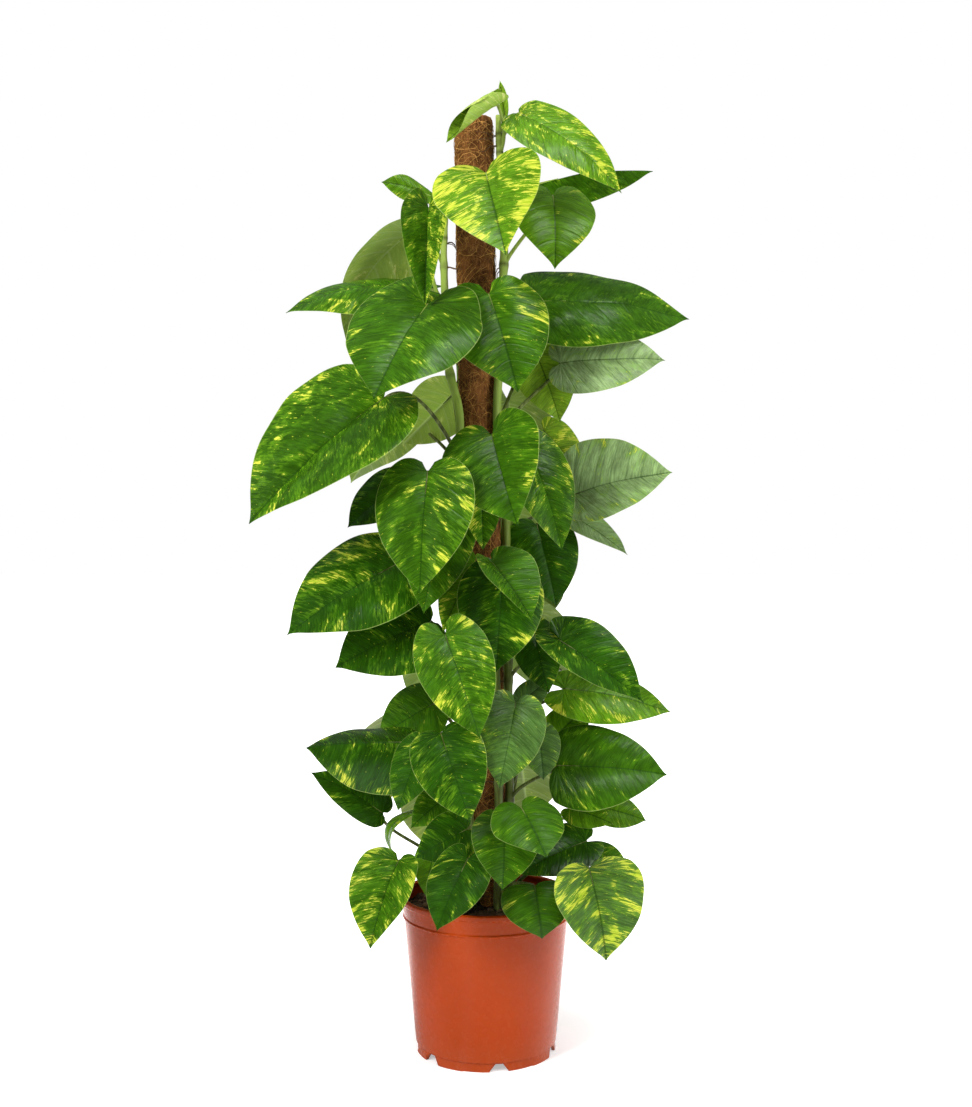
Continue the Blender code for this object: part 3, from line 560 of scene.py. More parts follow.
def leaf_upper_material():
    """Glossy green with yellow flecks that run along the side veins."""
    look = BladeMaterial("leaf_upper", 0.22, 0.16)
    yellow, halo, streak = look.flecks()
    cloud = look.noise(look.along(0.5, 14.0), 1.0, 3.0)
    light = look.times(look.step(cloud, 0.35, 0.7, 0.76, 1.18), look.step(streak, 0.33, 0.67, 0.7, 1.3))
    green = look.mix(halo, look.scaled(look.tint, light), HALO)
    fleck = look.mix(look.step(streak, 0.4, 0.68), FLECK_LIME, FLECK_YELLOW)
    color = look.mix(yellow, green, fleck)
    lines = look.lines(0.09)
    # Painted shade in the grooves along the side veins and in the channel over the midrib.
    color = look.mix(look.times(lines, 0.3), color, VEIN_GROOVE_SHADE)
    color = look.mix(look.midrib(0.04, 0.12), color, MIDRIB_GROOVE_SHADE)
    color = look.mix(look.step(look.blade[0], 0.986, 0.996, 0.0, 0.6), color, MARGIN_PALE)
    look.set("Base Color", color)
    mottle = look.noise(look.place(), 90.0, 3.0)
    look.set("Roughness", look.step(mottle, 0.3, 0.7, 0.17, 0.27))
    crease = look.noise(look.along(0.7, 46.0), 1.0, 3.0)
    height = look.plus(look.times(lines, -0.3), look.times(mottle, 0.2), look.times(streak, 0.3), crease)
    look.bump(height, 0.6, 0.001)
    return look.made


def leaf_under_material():
    """The paler and duller underside, with raised veins, made lighter partly by painted light that stands in
    for light shining through the blade. The flecks show through it.
    """
    look = BladeMaterial("leaf_under", 0.5, 0.3)
    yellow, halo, streak = look.flecks()
    # Partly the underside's own paler green and partly painted light, which stands in for light shining
    # through the blade.
    color = look.mix(0.6, look.tint, UNDER_PALE_AND_THROUGH_LIGHT)
    color = look.mix(halo, color, UNDER_HALO)
    color = look.mix(look.step(streak, 0.35, 0.65, 0.3, 0.0), color, UNDER_STREAK)
    color = look.mix(look.times(yellow, 0.7), color, UNDER_FLECK)
    lines = look.lines(0.12)
    color = look.mix(look.times(lines, 0.25), color, UNDER_VEIN)
    color = look.mix(look.midrib(0.1, 0.2), color, UNDER_MIDRIB)
    look.set("Base Color", color)
    look.bump(lines, 0.4, 0.0005)
    return look.made


def stem_material():
    """Green stems, browner at the nodes, with fine ribs along them."""
    look = Material("stem_green", 0.42, 0.2)
    streak = look.noise(look.mapped((260.0, 260.0, 22.0)), 1.0)
    pale = look.step(streak, 0.4, 0.75, 0.0, 0.55)
    color = look.mix(pale, look.attribute("tint", "Color"), STEM_FIBRE)
    color = look.mix(look.step(streak, 0.28, 0.42, 0.35, 0.0), color, STEM_SHADE)
    look.set("Base Color", color)
    look.bump(streak, 0.4, 0.0004)
    return look.made


def strand_material(name, roughness=0.85):
    """Coir, roots and crumbs, coloured one by one."""
    look = Material(name, roughness, 0.25)
    grain = look.noise(look.place(), 420.0, 3.0)
    light = look.step(grain, 0.3, 0.7, 0.7, 1.25)
    look.set("Base Color", look.scaled(look.attribute("tint", "Color"), light))
    return look.made


def coir_material():
    """The matted ground that the loose fibres lie on."""
    look = Material("coir_ground", 0.95, 0.15)
    slant = look.noise(look.mapped((500.0, 500.0, 120.0), (0.3, 0.5, 0.0)), 1.0, 3.0)
    counter = look.noise(look.mapped((420.0, 420.0, 100.0), (-0.4, -0.6, 0.3)), 1.0, 3.0)
    strands = look.largest(slant, counter)
    cloud = look.noise(look.place(), 60.0, 3.0)
    color = look.mix(look.step(cloud, 0.35, 0.65), *COIR_COLORS)
    look.set("Base Color", look.mix(look.step(strands, 0.5, 0.75), color, COIR_STRAND))
    look.bump(strands, 0.9, 0.002)
    return look.made


def pot_material():
    """Terracotta-coloured satin plastic with a faint moulded texture, a little dusty at the foot."""
    look = Material("pot_terracotta_plastic", 0.28, 0.2)
    place = look.place()
    color = look.mix(look.step(look.noise(place, 14.0), 0.3, 0.7), *POT_COLORS)
    dust = look.noise(place, 160.0, 5.0)
    low = look.step(look.values(place)[2], 0.0, 0.04, 0.15, 0.0)
    look.set("Base Color", look.mix(look.times(low, dust), color, POT_DUST))
    look.set("Roughness", look.step(dust, 0.3, 0.75, 0.25, 0.29))
    look.bump(look.noise(place, 900.0, 2.0), 0.05, 0.0002)
    return look.made


def soil_material():
    """Dark peat with brown bits."""
    look = Material("potting_mix", 0.95, 0.2)
    place = look.place()
    cloud = look.noise(place, 120.0, 6.0, 0.7)
    color = look.mix(look.step(cloud, 0.35, 0.65), *SOIL_COLORS)
    bits = look.step(look.noise(place, 520.0, 2.0), 0.66, 0.72)
    look.set("Base Color", look.mix(bits, color, SOIL_BITS))
    look.bump(cloud, 0.8, 0.003)
    return look.made


def wood_material():
    """The grain of the stake."""
    look = Material("stake_wood", 0.7, 0.3)
    inputs = {"Vector": look.place(), "Scale": 260.0, "Distortion": 6.0, "Detail": 3.0}
    rings = look.node("TexWave", inputs, wave_type="RINGS", rings_direction="Z").outputs[1]
    look.set("Base Color", look.mix(rings, *WOOD_COLORS))
    look.bump(rings, 0.3, 0.0005)
    return look.made


def floor_material():
    """White paper that fades into the white background. Mirrored, it shows a studio's soft panels."""
    look = Material("floor_white", 0.8, 0.1)
    look.set("Base Color", PAPER)
    look.set("Emission Color", WHITE)
    place = look.place()
    reach = look.node("VectorMath", {0: place}, operation="LENGTH").outputs[1]
    ways = look.values(look.node("VectorMath", {0: place}, operation="NORMALIZE").outputs[0])
    ray = look.node("LightPath").outputs
    paper = look.times(look.step(reach, 0.08, 0.7, 0.45, 1.0), ray["Is Camera Ray"])
    right = look.step(ways[0], 0.45, 0.95, 0.0, 0.7)
    behind = look.step(ways[1], 0.4, 0.9, 0.0, 1.1)
    left = look.step(look.math("ABSOLUTE", look.plus(ways[0], 0.37)), 0.0, 0.2, 0.5, 0.0)
    panels = look.times(look.largest(right, behind, left), ray["Is Glossy Ray"])
    look.set("Emission Strength", look.plus(paper, panels))
    return look.made


def make_piece(name, verts, faces, materials, smooth=180.0, replaced=None):
    """A mesh piece made from points in centimetres. It rides on the plant's one body."""
    mesh = bpy.data.meshes.new(name)
    points = np.asarray(verts, dtype=float) * CM
    mesh.from_pydata(points.tolist(), [], faces)
    for material in materials:
        mesh.materials.append(material)
    mesh.shade_smooth()
    mesh.set_sharp_from_angle(angle=math.radians(smooth))
    piece = bpy.data.objects.new(name, mesh)
    bpy.context.collection.objects.link(piece)
    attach(piece, "root")
    if replaced:
        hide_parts(replaced)
    return piece


def add_vectors(piece, name, values):
    """A vector attribute for each point."""
    layer = piece.data.attributes.new(name, "FLOAT_VECTOR", "POINT")
    layer.data.foreach_set("vector", np.asarray(values, dtype=np.float32).ravel())


def add_tints(piece, colors):
    """A colour for each point."""
    layer = piece.data.attributes.new("tint", "FLOAT_COLOR", "POINT")
    colors = np.asarray(colors, dtype=np.float32)
    alpha = np.ones((len(colors), 1), dtype=np.float32)
    layer.data.foreach_set("color", np.hstack([colors, alpha]).ravel())


class Parts:
    """Points, faces and colours gathered for one piece."""

    def __init__(self):
        self.verts = []
        self.faces = []
        self.colors = []

    def add(self, verts, faces, colors=()):
        """Append one solid. colors is a list with a colour for each point, or one colour for all."""
        shift = len(self.verts)
        self.verts.extend(verts)
        self.faces.extend(tuple(i + shift for i in face) for face in faces)
        self.colors.extend(colors if isinstance(colors, list) else [colors] * len(verts))

    def piece(self, name, material, slot, smooth=180.0):
        """Make the piece, with its colours as an attribute."""
        add_tints(make_piece(name, self.verts, self.faces, [material], smooth), self.colors)


def band(first, second):
    """Quads between two rings of point numbers, or triangles where one ring is a single point."""
    count = max(len(first), len(second))
    faces = []
    for i in range(count):
        j = (i + 1) % count
        face = [first[i % len(first)], first[j % len(first)]]
        face += [second[j % len(second)], second[i % len(second)]]
        faces.append(tuple(dict.fromkeys(face)))
    return faces


def bands(rings):
    """The faces between each ring and the next."""
    return [face for first, second in zip(rings, rings[1:]) for face in band(first, second)]


def revolve(profile, segments, radius_at=None):
    """Turn a profile of (radius, height) points round Z. radius_at may change a radius by angle."""
    verts = []
    rings = []
    for radius, height in profile:
        count = segments if radius > 0 else 1
        rings.append(range(len(verts), len(verts) + count))
        for i in range(count):
            angle = math.tau * i / segments
            reach = radius_at(radius, height, angle) if radius_at else radius
            verts.append(Vector((reach * math.cos(angle), reach * math.sin(angle), height)))
    return verts, bands(rings)


def tube(points, radii, sides, shape=None):
    """A closed tube along the points, with flat ends. shape may change the radius by angle."""
    verts = []
    along = (points[1] - points[0]).normalized()
    side = along.orthogonal().normalized()
    for k, (point, radius) in enumerate(zip(points, radii)):
        behind = points[max(k - 1, 0)]
        ahead = points[min(k + 1, len(points) - 1)]
        heading = (ahead - behind).normalized()
        side = along.rotation_difference(heading) @ side
        along = heading
        other = along.cross(side)
        for i in range(sides):
            angle = math.tau * i / sides
            reach = radius * (shape(angle) if shape else 1.0)
            verts.append(point + reach * (math.cos(angle) * side + math.sin(angle) * other))
    rings = [range(k * sides, (k + 1) * sides) for k in range(len(points))]
    return verts, bands(rings) + [tuple(reversed(rings[0])), tuple(rings[-1])]


def blend(knots, z):
    """Values at height z, eased between knots of (height, value, value...)."""
    if z <= knots[0][0]:
        return knots[0][1:]
    for low, high in zip(knots, knots[1:]):
        if z <= high[0]:
            t = (z - low[0]) / (high[0] - low[0])
            return mixed(low[1:], high[1:], t * t * (3 - 2 * t))
    return knots[-1][1:]


def mixed(first, second, t):
    """Values between two sets of values, such as two colours."""
    return tuple(a + (b - a) * t for a, b in zip(first, second))


def bell(distance, width):
    """A bell curve, which is 1 at distance 0."""
    return math.exp(-(distance / width) ** 2)


def lumps(at, table):
    """A sum of noises, each given as (height, rate)."""
    return sum(height * noise.noise(at * rate) for height, rate in table)


def shades(color, amount, rng):
    """A colour with a little seeded change of brightness."""
    scale = 1.0 + amount * (2.0 * rng.random() - 1.0)
    return tuple(c * scale for c in color)


def pole_axis(z):
    """The pole's centre at height z: upright in the soil, leaning slightly to the left above it."""
    return Vector((POLE_FOOT_X + POLE_LEAN * max(0.0, z - LEAN_START_Z), 0.0, z))


def round_pole(angle, distance, z):
    """A point at an angle round the pole, in degrees from the front, and a distance from its axis."""
    turn = math.radians(angle)
    return pole_axis(z) + distance * Vector((math.sin(turn), -math.cos(turn), 0.0))


def stem_point(route, z):
    """The centre of a stem at height z."""
    return round_pole(*blend(route, z), z)


def stem_radius(route, z):
    """A stem's radius, which tapers towards its growing end."""
    left = max(0.0, route[-1][0] - z) / STEM_TAPER_LENGTH
    return STEM_TIP_RADIUS + (STEM_RADIUS - STEM_TIP_RADIUS) * min(1.0, left)


def leaf_frame(leaf):
    """A leaf's base, its length, and its directions across, along and out of the upper face."""
    base = Vector(leaf.base)
    chord = Vector(leaf.tip) - base
    along = chord.normalized()
    yaw = math.radians(leaf.yaw)
    pitch = math.radians(leaf.pitch)
    facing = Vector((math.sin(yaw) * math.cos(pitch), -math.cos(yaw) * math.cos(pitch), math.sin(pitch)))
    out = (facing - facing.dot(along) * along).normalized()
    return base, chord.length, along.cross(out), along, out


def blade_points(leaf, x, y):
    """Points of the blade's middle surface, for arrays x across and y along in leaf lengths."""
    base, length, across, along, out = leaf_frame(leaf)
    fold = math.radians(leaf.fold)
    bend = math.radians(leaf.bend) / HALF_WIDTH
    side = np.abs(x) * leaf.width
    if abs(bend) < STRAIGHT:
        reach = side * math.cos(fold)
        lift = side * math.sin(fold)
    else:
        reach = (math.sin(fold) - np.sin(fold - bend * side)) / bend
        lift = (np.cos(fold - bend * side) - math.cos(fold)) / bend
    phase = WAVE_PHASE * leaf.node_z + np.where(x > 0, WAVE_SIDE_SHIFT, 0.0)
    lift = lift + WAVE * (side / HALF_WIDTH) ** 2 * np.sin(WAVE_RATE * y + phase)
    roll = math.radians(leaf.twist) * y
    lateral = np.sign(x) * reach
    u = lateral * np.cos(roll) - lift * np.sin(roll)
    v = lateral * np.sin(roll) + lift * np.cos(roll)
    v = v + 4.0 * leaf.arch * y * (1.0 - np.maximum(y, 0.0))
    local = u[:, None] * np.array(across) + y[:, None] * np.array(along) + v[:, None] * np.array(out)
    return np.array(base) + length * local


def midrib_point(leaf, y, drop):
    """A point on the midrib, dropped below the blade by a distance."""
    point = blade_points(leaf, np.zeros(1), np.array([y]))[0]
    return Vector(point) - drop * leaf_frame(leaf)[4]


def smooth_outline(count):
    """The blade's margin as a smooth curve through OUTLINE, in even steps."""
    knots = np.array(OUTLINE)
    ends = np.vstack([2 * knots[0] - knots[1], knots, 2 * knots[-1] - knots[-2]])
    dense = []
    for k in range(len(knots) - 1):
        p0, p1, p2, p3 = ends[k:k + 4]
        for t in np.linspace(0.0, 1.0, OUTLINE_STEPS, endpoint=False):
            a = 2 * p1 + (p2 - p0) * t
            b = (2 * p0 - 5 * p1 + 4 * p2 - p3) * t ** 2
            c = (3 * p1 - p0 - 3 * p2 + p3) * t ** 3
            dense.append((a + b + c) / 2)
    dense = np.array(dense + [knots[-1]])
    steps = np.linalg.norm(np.diff(dense, axis=0), axis=1)
    run = np.concatenate([[0.0], np.cumsum(steps)])
    at = np.linspace(0.0, run[-1], count + 1)
    return np.stack([np.interp(at, run, dense[:, 0]), np.interp(at, run, dense[:, 1])], axis=1)


class BladeGrid:
    """The fine grid that every blade shares: places in leaf lengths, and triangles and quads."""

    def __init__(self):
        self.points = []
        self.faces = []
        margin = smooth_outline(BLADE_ROWS)
        starts = [max(0.0, y - VEIN_SLOPE * x) for x, y in margin]
        spine = []
        for i, start in enumerate(starts):
            spine.append(0 if spine and start == 0.0 else self.point(0.0, start, i, 0.0))
        for sign in (1.0, -1.0):
            rows = []
            for i in range(BLADE_ROWS):
                row = [spine[i]]
                for c in BLADE_COLUMNS[1:]:
                    y = starts[i] + (margin[i][1] - starts[i]) * c ** VEIN_ARCH
                    row.append(self.point(sign * margin[i][0] * c, y, i, c))
                rows.append(row)
            rows.append([spine[-1]] * len(BLADE_COLUMNS))
            for low, high in zip(rows, rows[1:]):
                self.cells(low, high, sign)
        self.x, self.y, self.row, self.edge = np.array(self.points).T
        edges = {(f[k], f[(k + 1) % len(f)]) for f in self.faces for k in range(len(f))}
        self.rim = sorted((a, b) for a, b in edges if (b, a) not in edges)
        corners = [(f[0], f[1], f[2]) for f in self.faces] + [(f[0], f[2], f[-1]) for f in self.faces]
        self.corners = np.array(corners)

    def point(self, x, y, row, edge):
        """Add a point and return its number."""
        self.points.append((x, y, row / BLADE_ROWS, edge))
        return len(self.points) - 1

    def cells(self, low, high, sign):
        """Faces between two rows. Where the rows share points, a face has three corners or none."""
        for j in range(len(low) - 1):
            corners = tuple(dict.fromkeys((low[j], low[j + 1], high[j + 1], high[j])))
            if len(corners) > 2:
                self.faces.append(corners if sign > 0 else corners[::-1])

    def normals(self, points):
        """The unit normals of a blade's middle surface."""
        a, b, c = (points[self.corners[:, k]] for k in range(3))
        flat = np.cross(b - a, c - a)
        total = np.zeros_like(points)
        for k in range(3):
            np.add.at(total, self.corners[:, k], flat)
        return total / np.maximum(np.linalg.norm(total, axis=1), 1e-12)[:, None]


def blade_solid(leaf, grid):
    """The upper and lower points of one blade, and its length.

    The blade is quilted between its veins, drifts a little, and has a channel above and a rib below.
    """
    points = blade_points(leaf, grid.x, np.where(grid.y < 0.0, leaf.lobe * grid.y, grid.y))
    length = leaf_frame(leaf)[1]
    normals = grid.normals(points)
    size = length / QUILT_LENGTH
    swell = np.cos(math.tau * VEIN_COUNT * grid.row) * (4.0 * grid.edge * (1.0 - grid.edge)) ** 0.7
    apart = Vector((leaf.node_z, 0.0, 0.0))
    drift = np.array([noise.noise(Vector(p) * DRIFT_RATE + apart) for p in points])
    inner = np.minimum(1.0, np.hypot(grid.x, grid.y) * 4.0)
    rise = size * (DRIFT * drift * inner - QUILT * swell)
    centre = np.exp(-(np.abs(grid.x) * length / RIB_WIDTH) ** 2) * (1.0 - np.clip(grid.y, 0.0, 1.0)) ** 0.7
    thin = HALF_THICKNESS * (1.0 - MARGIN_THINNING * grid.edge ** 6)
    upper = points + normals * (rise + thin - CHANNEL * centre)[:, None]
    lower = points + normals * (rise - thin - RIB * centre)[:, None]
    return upper, lower, length


def build_leaves(name, vine, grid, materials):
    """All the blades of a vine, as one piece that stands for its CAD node."""
    count = len(grid.x)
    verts, faces, lower_faces, veins, blades, tints = [], [], [], [], [], []
    for k, leaf in enumerate(vine.leaves):
        rng = random.Random(f"{name} {k}")
        upper, lower, length = blade_solid(leaf, grid)
        verts += [upper, lower]
        shift = 2 * count * k
        for f in grid.faces:
            faces.append(tuple(i + shift for i in f))
            faces.append(tuple(i + shift + count for i in reversed(f)))
            lower_faces += [0, 1]
        for a, b in grid.rim:
            faces.append((b + shift, a + shift, a + shift + count, b + shift + count))
            lower_faces.append(0)
        seed = 10.0 * rng.random()
        share = np.clip(leaf.fleck * (1.0 + leaf.lean * np.sign(grid.x)), 0.0, 1.0)
        veins += 2 * [np.stack([grid.x * length, grid.row, np.full(count, seed)], axis=1)]
        blades += 2 * [np.stack([grid.edge, share, np.zeros(count)], axis=1)]
        tints += 2 * [np.tile(shades(TONES[leaf.tone], 0.12, rng), (count, 1))]
    piece = make_piece(f"{name}_leaves", np.vstack(verts), faces, materials, 50.0, name)
    piece.data.polygons.foreach_set("material_index", lower_faces)
    add_vectors(piece, "vein", np.vstack(veins))
    add_vectors(piece, "blade", np.vstack(blades))
    add_tints(piece, np.vstack(tints))


def petiole_path(route, leaf):
    """Centre points of a petiole, which runs on under the midrib."""
    _, _, _, along, out = leaf_frame(leaf)
    start = stem_point(route, leaf.node_z)
    end = midrib_point(leaf, 0.0, 0.1)
    outward = (start - pole_axis(leaf.node_z)).normalized()
    span = (end - start).length
    leave = (PETIOLE_OUTWARD * outward + PETIOLE_RISE * UP).normalized()
    arrive = ((1.0 - leaf.turn) * along + leaf.turn * out).normalized()
    first = start + PETIOLE_LEAVE * span * leave
    second = end - PETIOLE_ARRIVE * span * arrive
    path = interpolate_bezier(start, first, second, end, PETIOLE_STEPS + 1)
    return path + [midrib_point(leaf, y, drop) for y, drop, _ in MIDRIB_RUN]


def petiole_radii():
    """A petiole's radii: swollen where it leaves the stem and below the blade, thin under the midrib."""
    radii = []
    for i in range(PETIOLE_STEPS + 1):
        t = i / PETIOLE_STEPS
        radius = PETIOLE_RADIUS + (PETIOLE_END_RADIUS - PETIOLE_RADIUS) * t
        sheath = 1.0 + SHEATH_SWELLING * bell(t, SHEATH_LENGTH)
        joint = 1.0 + JOINT_SWELLING * bell(t - JOINT_PLACE, JOINT_LENGTH)
        radii.append(radius * sheath * joint)
    return radii + [radii[-1] * share for _, _, share in MIDRIB_RUN]


def build_stems(name, vine, material):
    """The stem of a vine, ringed where its petioles leave it, and the petioles."""
    parts = Parts()
    rng = random.Random(name + " stems")
    top = vine.route[-1][0]
    count = math.ceil((top - STEM_FOOT_Z) / STEM_STEP)
    turn = rng.random() * math.tau

    def grooved(angle):
        """Shallow grooves along the stem."""
        return 1.0 + 0.05 * math.cos(3 * angle + turn) + 0.03 * math.cos(7 * angle + 2 * turn)

    points, radii, colors = [], [], []
    for i in range(count + 1):
        z = STEM_FOOT_Z + (top - STEM_FOOT_Z) * i / count
        near = min(abs(z - leaf.node_z) for leaf in vine.leaves)
        points.append(stem_point(vine.route, z))
        radii.append(stem_radius(vine.route, z) * (1.0 + NODE_SWELLING * bell(near, NODE_LENGTH)))
        colors += [mixed(blend(STEM_COLORS, z), RING_COLOR, 0.8 * bell(near, RING_LENGTH))] * STEM_SIDES
    parts.add(*tube(points, radii, STEM_SIDES, grooved), colors)
    for leaf in vine.leaves:
        path = petiole_path(vine.route, leaf)
        stalk = shades(blend(PETIOLE_COLORS, leaf.node_z), 0.3, rng)
        colors = []
        for i in range(len(path)):
            joint = bell(min(1.0, i / PETIOLE_STEPS) - 0.95, JOINT_LENGTH)
            colors += [mixed(stalk, RING_COLOR, 0.5 * joint)] * PETIOLE_SIDES
        parts.add(*tube(path, petiole_radii(), PETIOLE_SIDES), colors)
    parts.piece(f"{name}_stems", material, "foliage", 60.0)


def build_roots(material):
    """Aerial roots that leave the stems at their nodes and cling to the pole."""
    parts = Parts()
    rng = random.Random("roots")
    places = [(vine, leaf) for vine in VINES.values() for leaf in vine.leaves for _ in range(ROOTS_PER_LEAF)]
    for vine, leaf in places:
        z = leaf.node_z + rng.uniform(-0.6, 0.3)
        angle, distance = blend(vine.route, z)
        swing = rng.choice((-1, 1)) * rng.uniform(18, 60)
        drop = rng.uniform(-1.6, 0.8)
        thick = rng.uniform(0.05, 0.1)
        path = []
        for i in range(ROOT_STEPS + 1):
            t = i / ROOT_STEPS
            reach = distance + (COIR_RADIUS + ROOT_LIFT - distance) * min(1.0, 2.2 * t)
            wobble = 2.0 * noise.noise(Vector((z * 3.0, t * 4.0, angle)))
            path.append(round_pole(angle + swing * t + wobble, reach, z + drop * t + 0.2 * wobble))
        radii = [thick * (1.0 - ROOT_TAPER * i / ROOT_STEPS) for i in range(ROOT_STEPS + 1)]
        parts.add(*tube(path, radii, ROOT_SIDES), shades(ROOT_COLOR, 0.4, rng))
    parts.piece("aerial_roots", material, "foliage", 60.0)


def build_coir_mat(material):
    """The coir sleeve's matted surface, uneven like packed husk."""
    rows = math.ceil((POLE_TOP_Z - MAT_FOOT_Z) / MAT_STEP)
    inner = CORE_RADIUS + 2 * GAP
    profile = [(inner, MAT_FOOT_Z)]
    profile += [(COIR_RADIUS, MAT_FOOT_Z + (POLE_TOP_Z - MAT_FOOT_Z) * i / rows) for i in range(rows + 1)]
    profile += [(inner, POLE_TOP_Z)]

    def rough(radius, height, angle):
        """Lumps on the outside only."""
        if radius == inner:
            return radius
        at = Vector((2.2 * math.cos(angle), 2.2 * math.sin(angle), height))
        return radius - MAT_SINK + lumps(at, MAT_LUMPS)

    verts, faces = revolve(profile, MAT_SEGMENTS, rough)
    faces += band(range(len(verts) - MAT_SEGMENTS, len(verts)), range(MAT_SEGMENTS))
    verts = [vert + pole_axis(vert.z) - UP * vert.z for vert in verts]
    make_piece("coir_mat", verts, faces, [material], replaced="coir_sleeve")


def build_fibres(material):
    """Loose coir fibres that cross on the pole and fold over its top edge, and a few that stand off it."""
    parts = Parts()
    rng = random.Random("fibres")
    for _ in range(FIBRE_COUNT):
        z = rng.uniform(SOIL_TOP_Z, POLE_TOP_Z + 0.1)
        angle = rng.uniform(0, 360)
        length = rng.uniform(1.2, 4.5)
        lean = rng.choice((-1, 1)) * math.radians(rng.gauss(38, 22))
        curl = rng.gauss(0, 0.9)
        proud = rng.uniform(0.0, 0.13)
        free = FREE_LIFT if rng.random() < FREE_SHARE else 0.0
        path = []
        for i in range(FIBRE_POINTS):
            t = i / (FIBRE_POINTS - 1)
            heading = lean + curl * (t - 0.5)
            around = math.degrees(length * t * math.cos(heading) / COIR_RADIUS)
            height = z + length * (t - 0.5) * math.sin(heading)
            reach = COIR_RADIUS - FIBRE_SINK + proud * math.sin(math.pi * t) + free * max(0.0, t - 0.5) ** 1.5
            reach = max(reach - max(0.0, height - POLE_TOP_Z), CORE_RADIUS + 0.2)
            path.append(round_pole(angle + around, reach, min(height, POLE_TOP_Z + GAP)))
        radius = rng.uniform(0.012, 0.028)
        color = mixed(*FIBRE_COLORS, rng.random() ** 2.2)
        parts.add(*tube(path, [radius] * FIBRE_POINTS, 3), color)
    parts.piece("coir_fibres", material, "coir")


def rounded(profile):
    """A profile with its corners rounded off."""
    made = [profile[0]]
    for before, corner, after in zip(profile, profile[1:], profile[2:]):
        corner = Vector(corner)
        back = Vector(before) - corner
        ahead = Vector(after) - corner
        cut = min(CORNER_RADIUS, CORNER_SHARE * back.length, CORNER_SHARE * ahead.length)
        start = corner + back.normalized() * cut
        end = corner + ahead.normalized() * cut
        for i in range(CORNER_STEPS + 1):
            t = i / CORNER_STEPS
            made.append(tuple((1 - t) ** 2 * start + 2 * t * (1 - t) * corner + t * t * end))
    return made + [profile[-1]]


def pot_profile():
    """The pot's section: under the floor, round the foot, up the outside, over the rim and down inside."""
    collar_foot_z = POT_HEIGHT - COLLAR_HEIGHT
    rim_z = POT_HEIGHT - RIM_HEIGHT
    rim_inner = RIM_RADIUS - RIM_WIDTH
    groove = RIM_RADIUS - LIP_WIDTH
    return (
        (0.0, FLOOR_Z),
        (FOOT_RADIUS - FOOT_THICKNESS, FLOOR_Z),
        (FOOT_RADIUS - FOOT_THICKNESS, 0.0),
        (FOOT_RADIUS, 0.0),
        (FOOT_RADIUS, FOOT_HEIGHT),
        (BODY_FOOT_RADIUS, FOOT_HEIGHT),
        (BODY_TOP_RADIUS, collar_foot_z - RIDGE_HEIGHT),
        (RIDGE_RADIUS, collar_foot_z),
        (RIDGE_RADIUS, collar_foot_z + RIDGE_HEIGHT),
        (COLLAR_FOOT_RADIUS, collar_foot_z + 2 * RIDGE_HEIGHT),
        (COLLAR_TOP_RADIUS, rim_z - WALL),
        (RIM_RADIUS, rim_z),
        (RIM_RADIUS, POT_HEIGHT - RIM_BEVEL),
        (RIM_RADIUS - RIM_BEVEL, POT_HEIGHT),
        (groove + GAP, POT_HEIGHT),
        (groove, POT_HEIGHT - GROOVE_DEPTH),
        (groove - GROOVE_WIDTH, POT_HEIGHT - GROOVE_DEPTH),
        (groove - GROOVE_WIDTH - GAP, POT_HEIGHT - GAP),
        (rim_inner, POT_HEIGHT - GAP),
        (rim_inner, POT_HEIGHT - LIP_DEPTH),
        (COLLAR_TOP_RADIUS - WALL, rim_z - WALL),
        (COLLAR_FOOT_RADIUS - WALL, collar_foot_z),
        (BODY_FOOT_RADIUS - WALL, FLOOR_Z + WALL),
        (0.0, FLOOR_Z + WALL),
    )


def prism(outline, direction, start, depth):
    """A closed prism: an outline of points on one plane, pushed along a direction."""
    near = [point + direction * start for point in outline]
    far = [point + direction * (start + depth) for point in outline]
    rings = range(len(outline)), range(len(outline), 2 * len(outline))
    return near + far, band(*rings) + [tuple(reversed(rings[0])), tuple(rings[1])]


def foot_cutter():
    """The notches in the foot ring and the drain holes in the floor, as one cutter."""
    parts = Parts()
    slope = (NOTCH_FOOT_WIDTH - NOTCH_TOP_WIDTH) / 2 / NOTCH_HEIGHT
    foot_half = NOTCH_FOOT_WIDTH / 2 + slope * NOTCH_MARGIN
    top_half = NOTCH_TOP_WIDTH / 2
    corners = ((-foot_half, -NOTCH_MARGIN), (foot_half, -NOTCH_MARGIN))
    corners += ((top_half, NOTCH_HEIGHT), (-top_half, NOTCH_HEIGHT))
    for k in range(NOTCH_COUNT):
        angle = math.radians(NOTCH_PHASE + k * 360.0 / NOTCH_COUNT) - math.pi / 2
        radial = Vector((math.cos(angle), math.sin(angle), 0.0))
        tangent = UP.cross(radial)
        notch = [across * tangent + height * UP for across, height in corners]
        drain = []
        for i in range(DRAIN_SIDES):
            turn = math.tau * i / DRAIN_SIDES
            outward = DRAIN_CIRCLE + DRAIN_RADIUS * math.cos(turn)
            drain.append(radial * outward + tangent * DRAIN_RADIUS * math.sin(turn))
        parts.add(*prism(notch, radial, FOOT_RADIUS - 2 * FOOT_THICKNESS, 4 * FOOT_THICKNESS))
        parts.add(*prism(drain, UP, FLOOR_Z - WALL, 3 * WALL))
    return parts


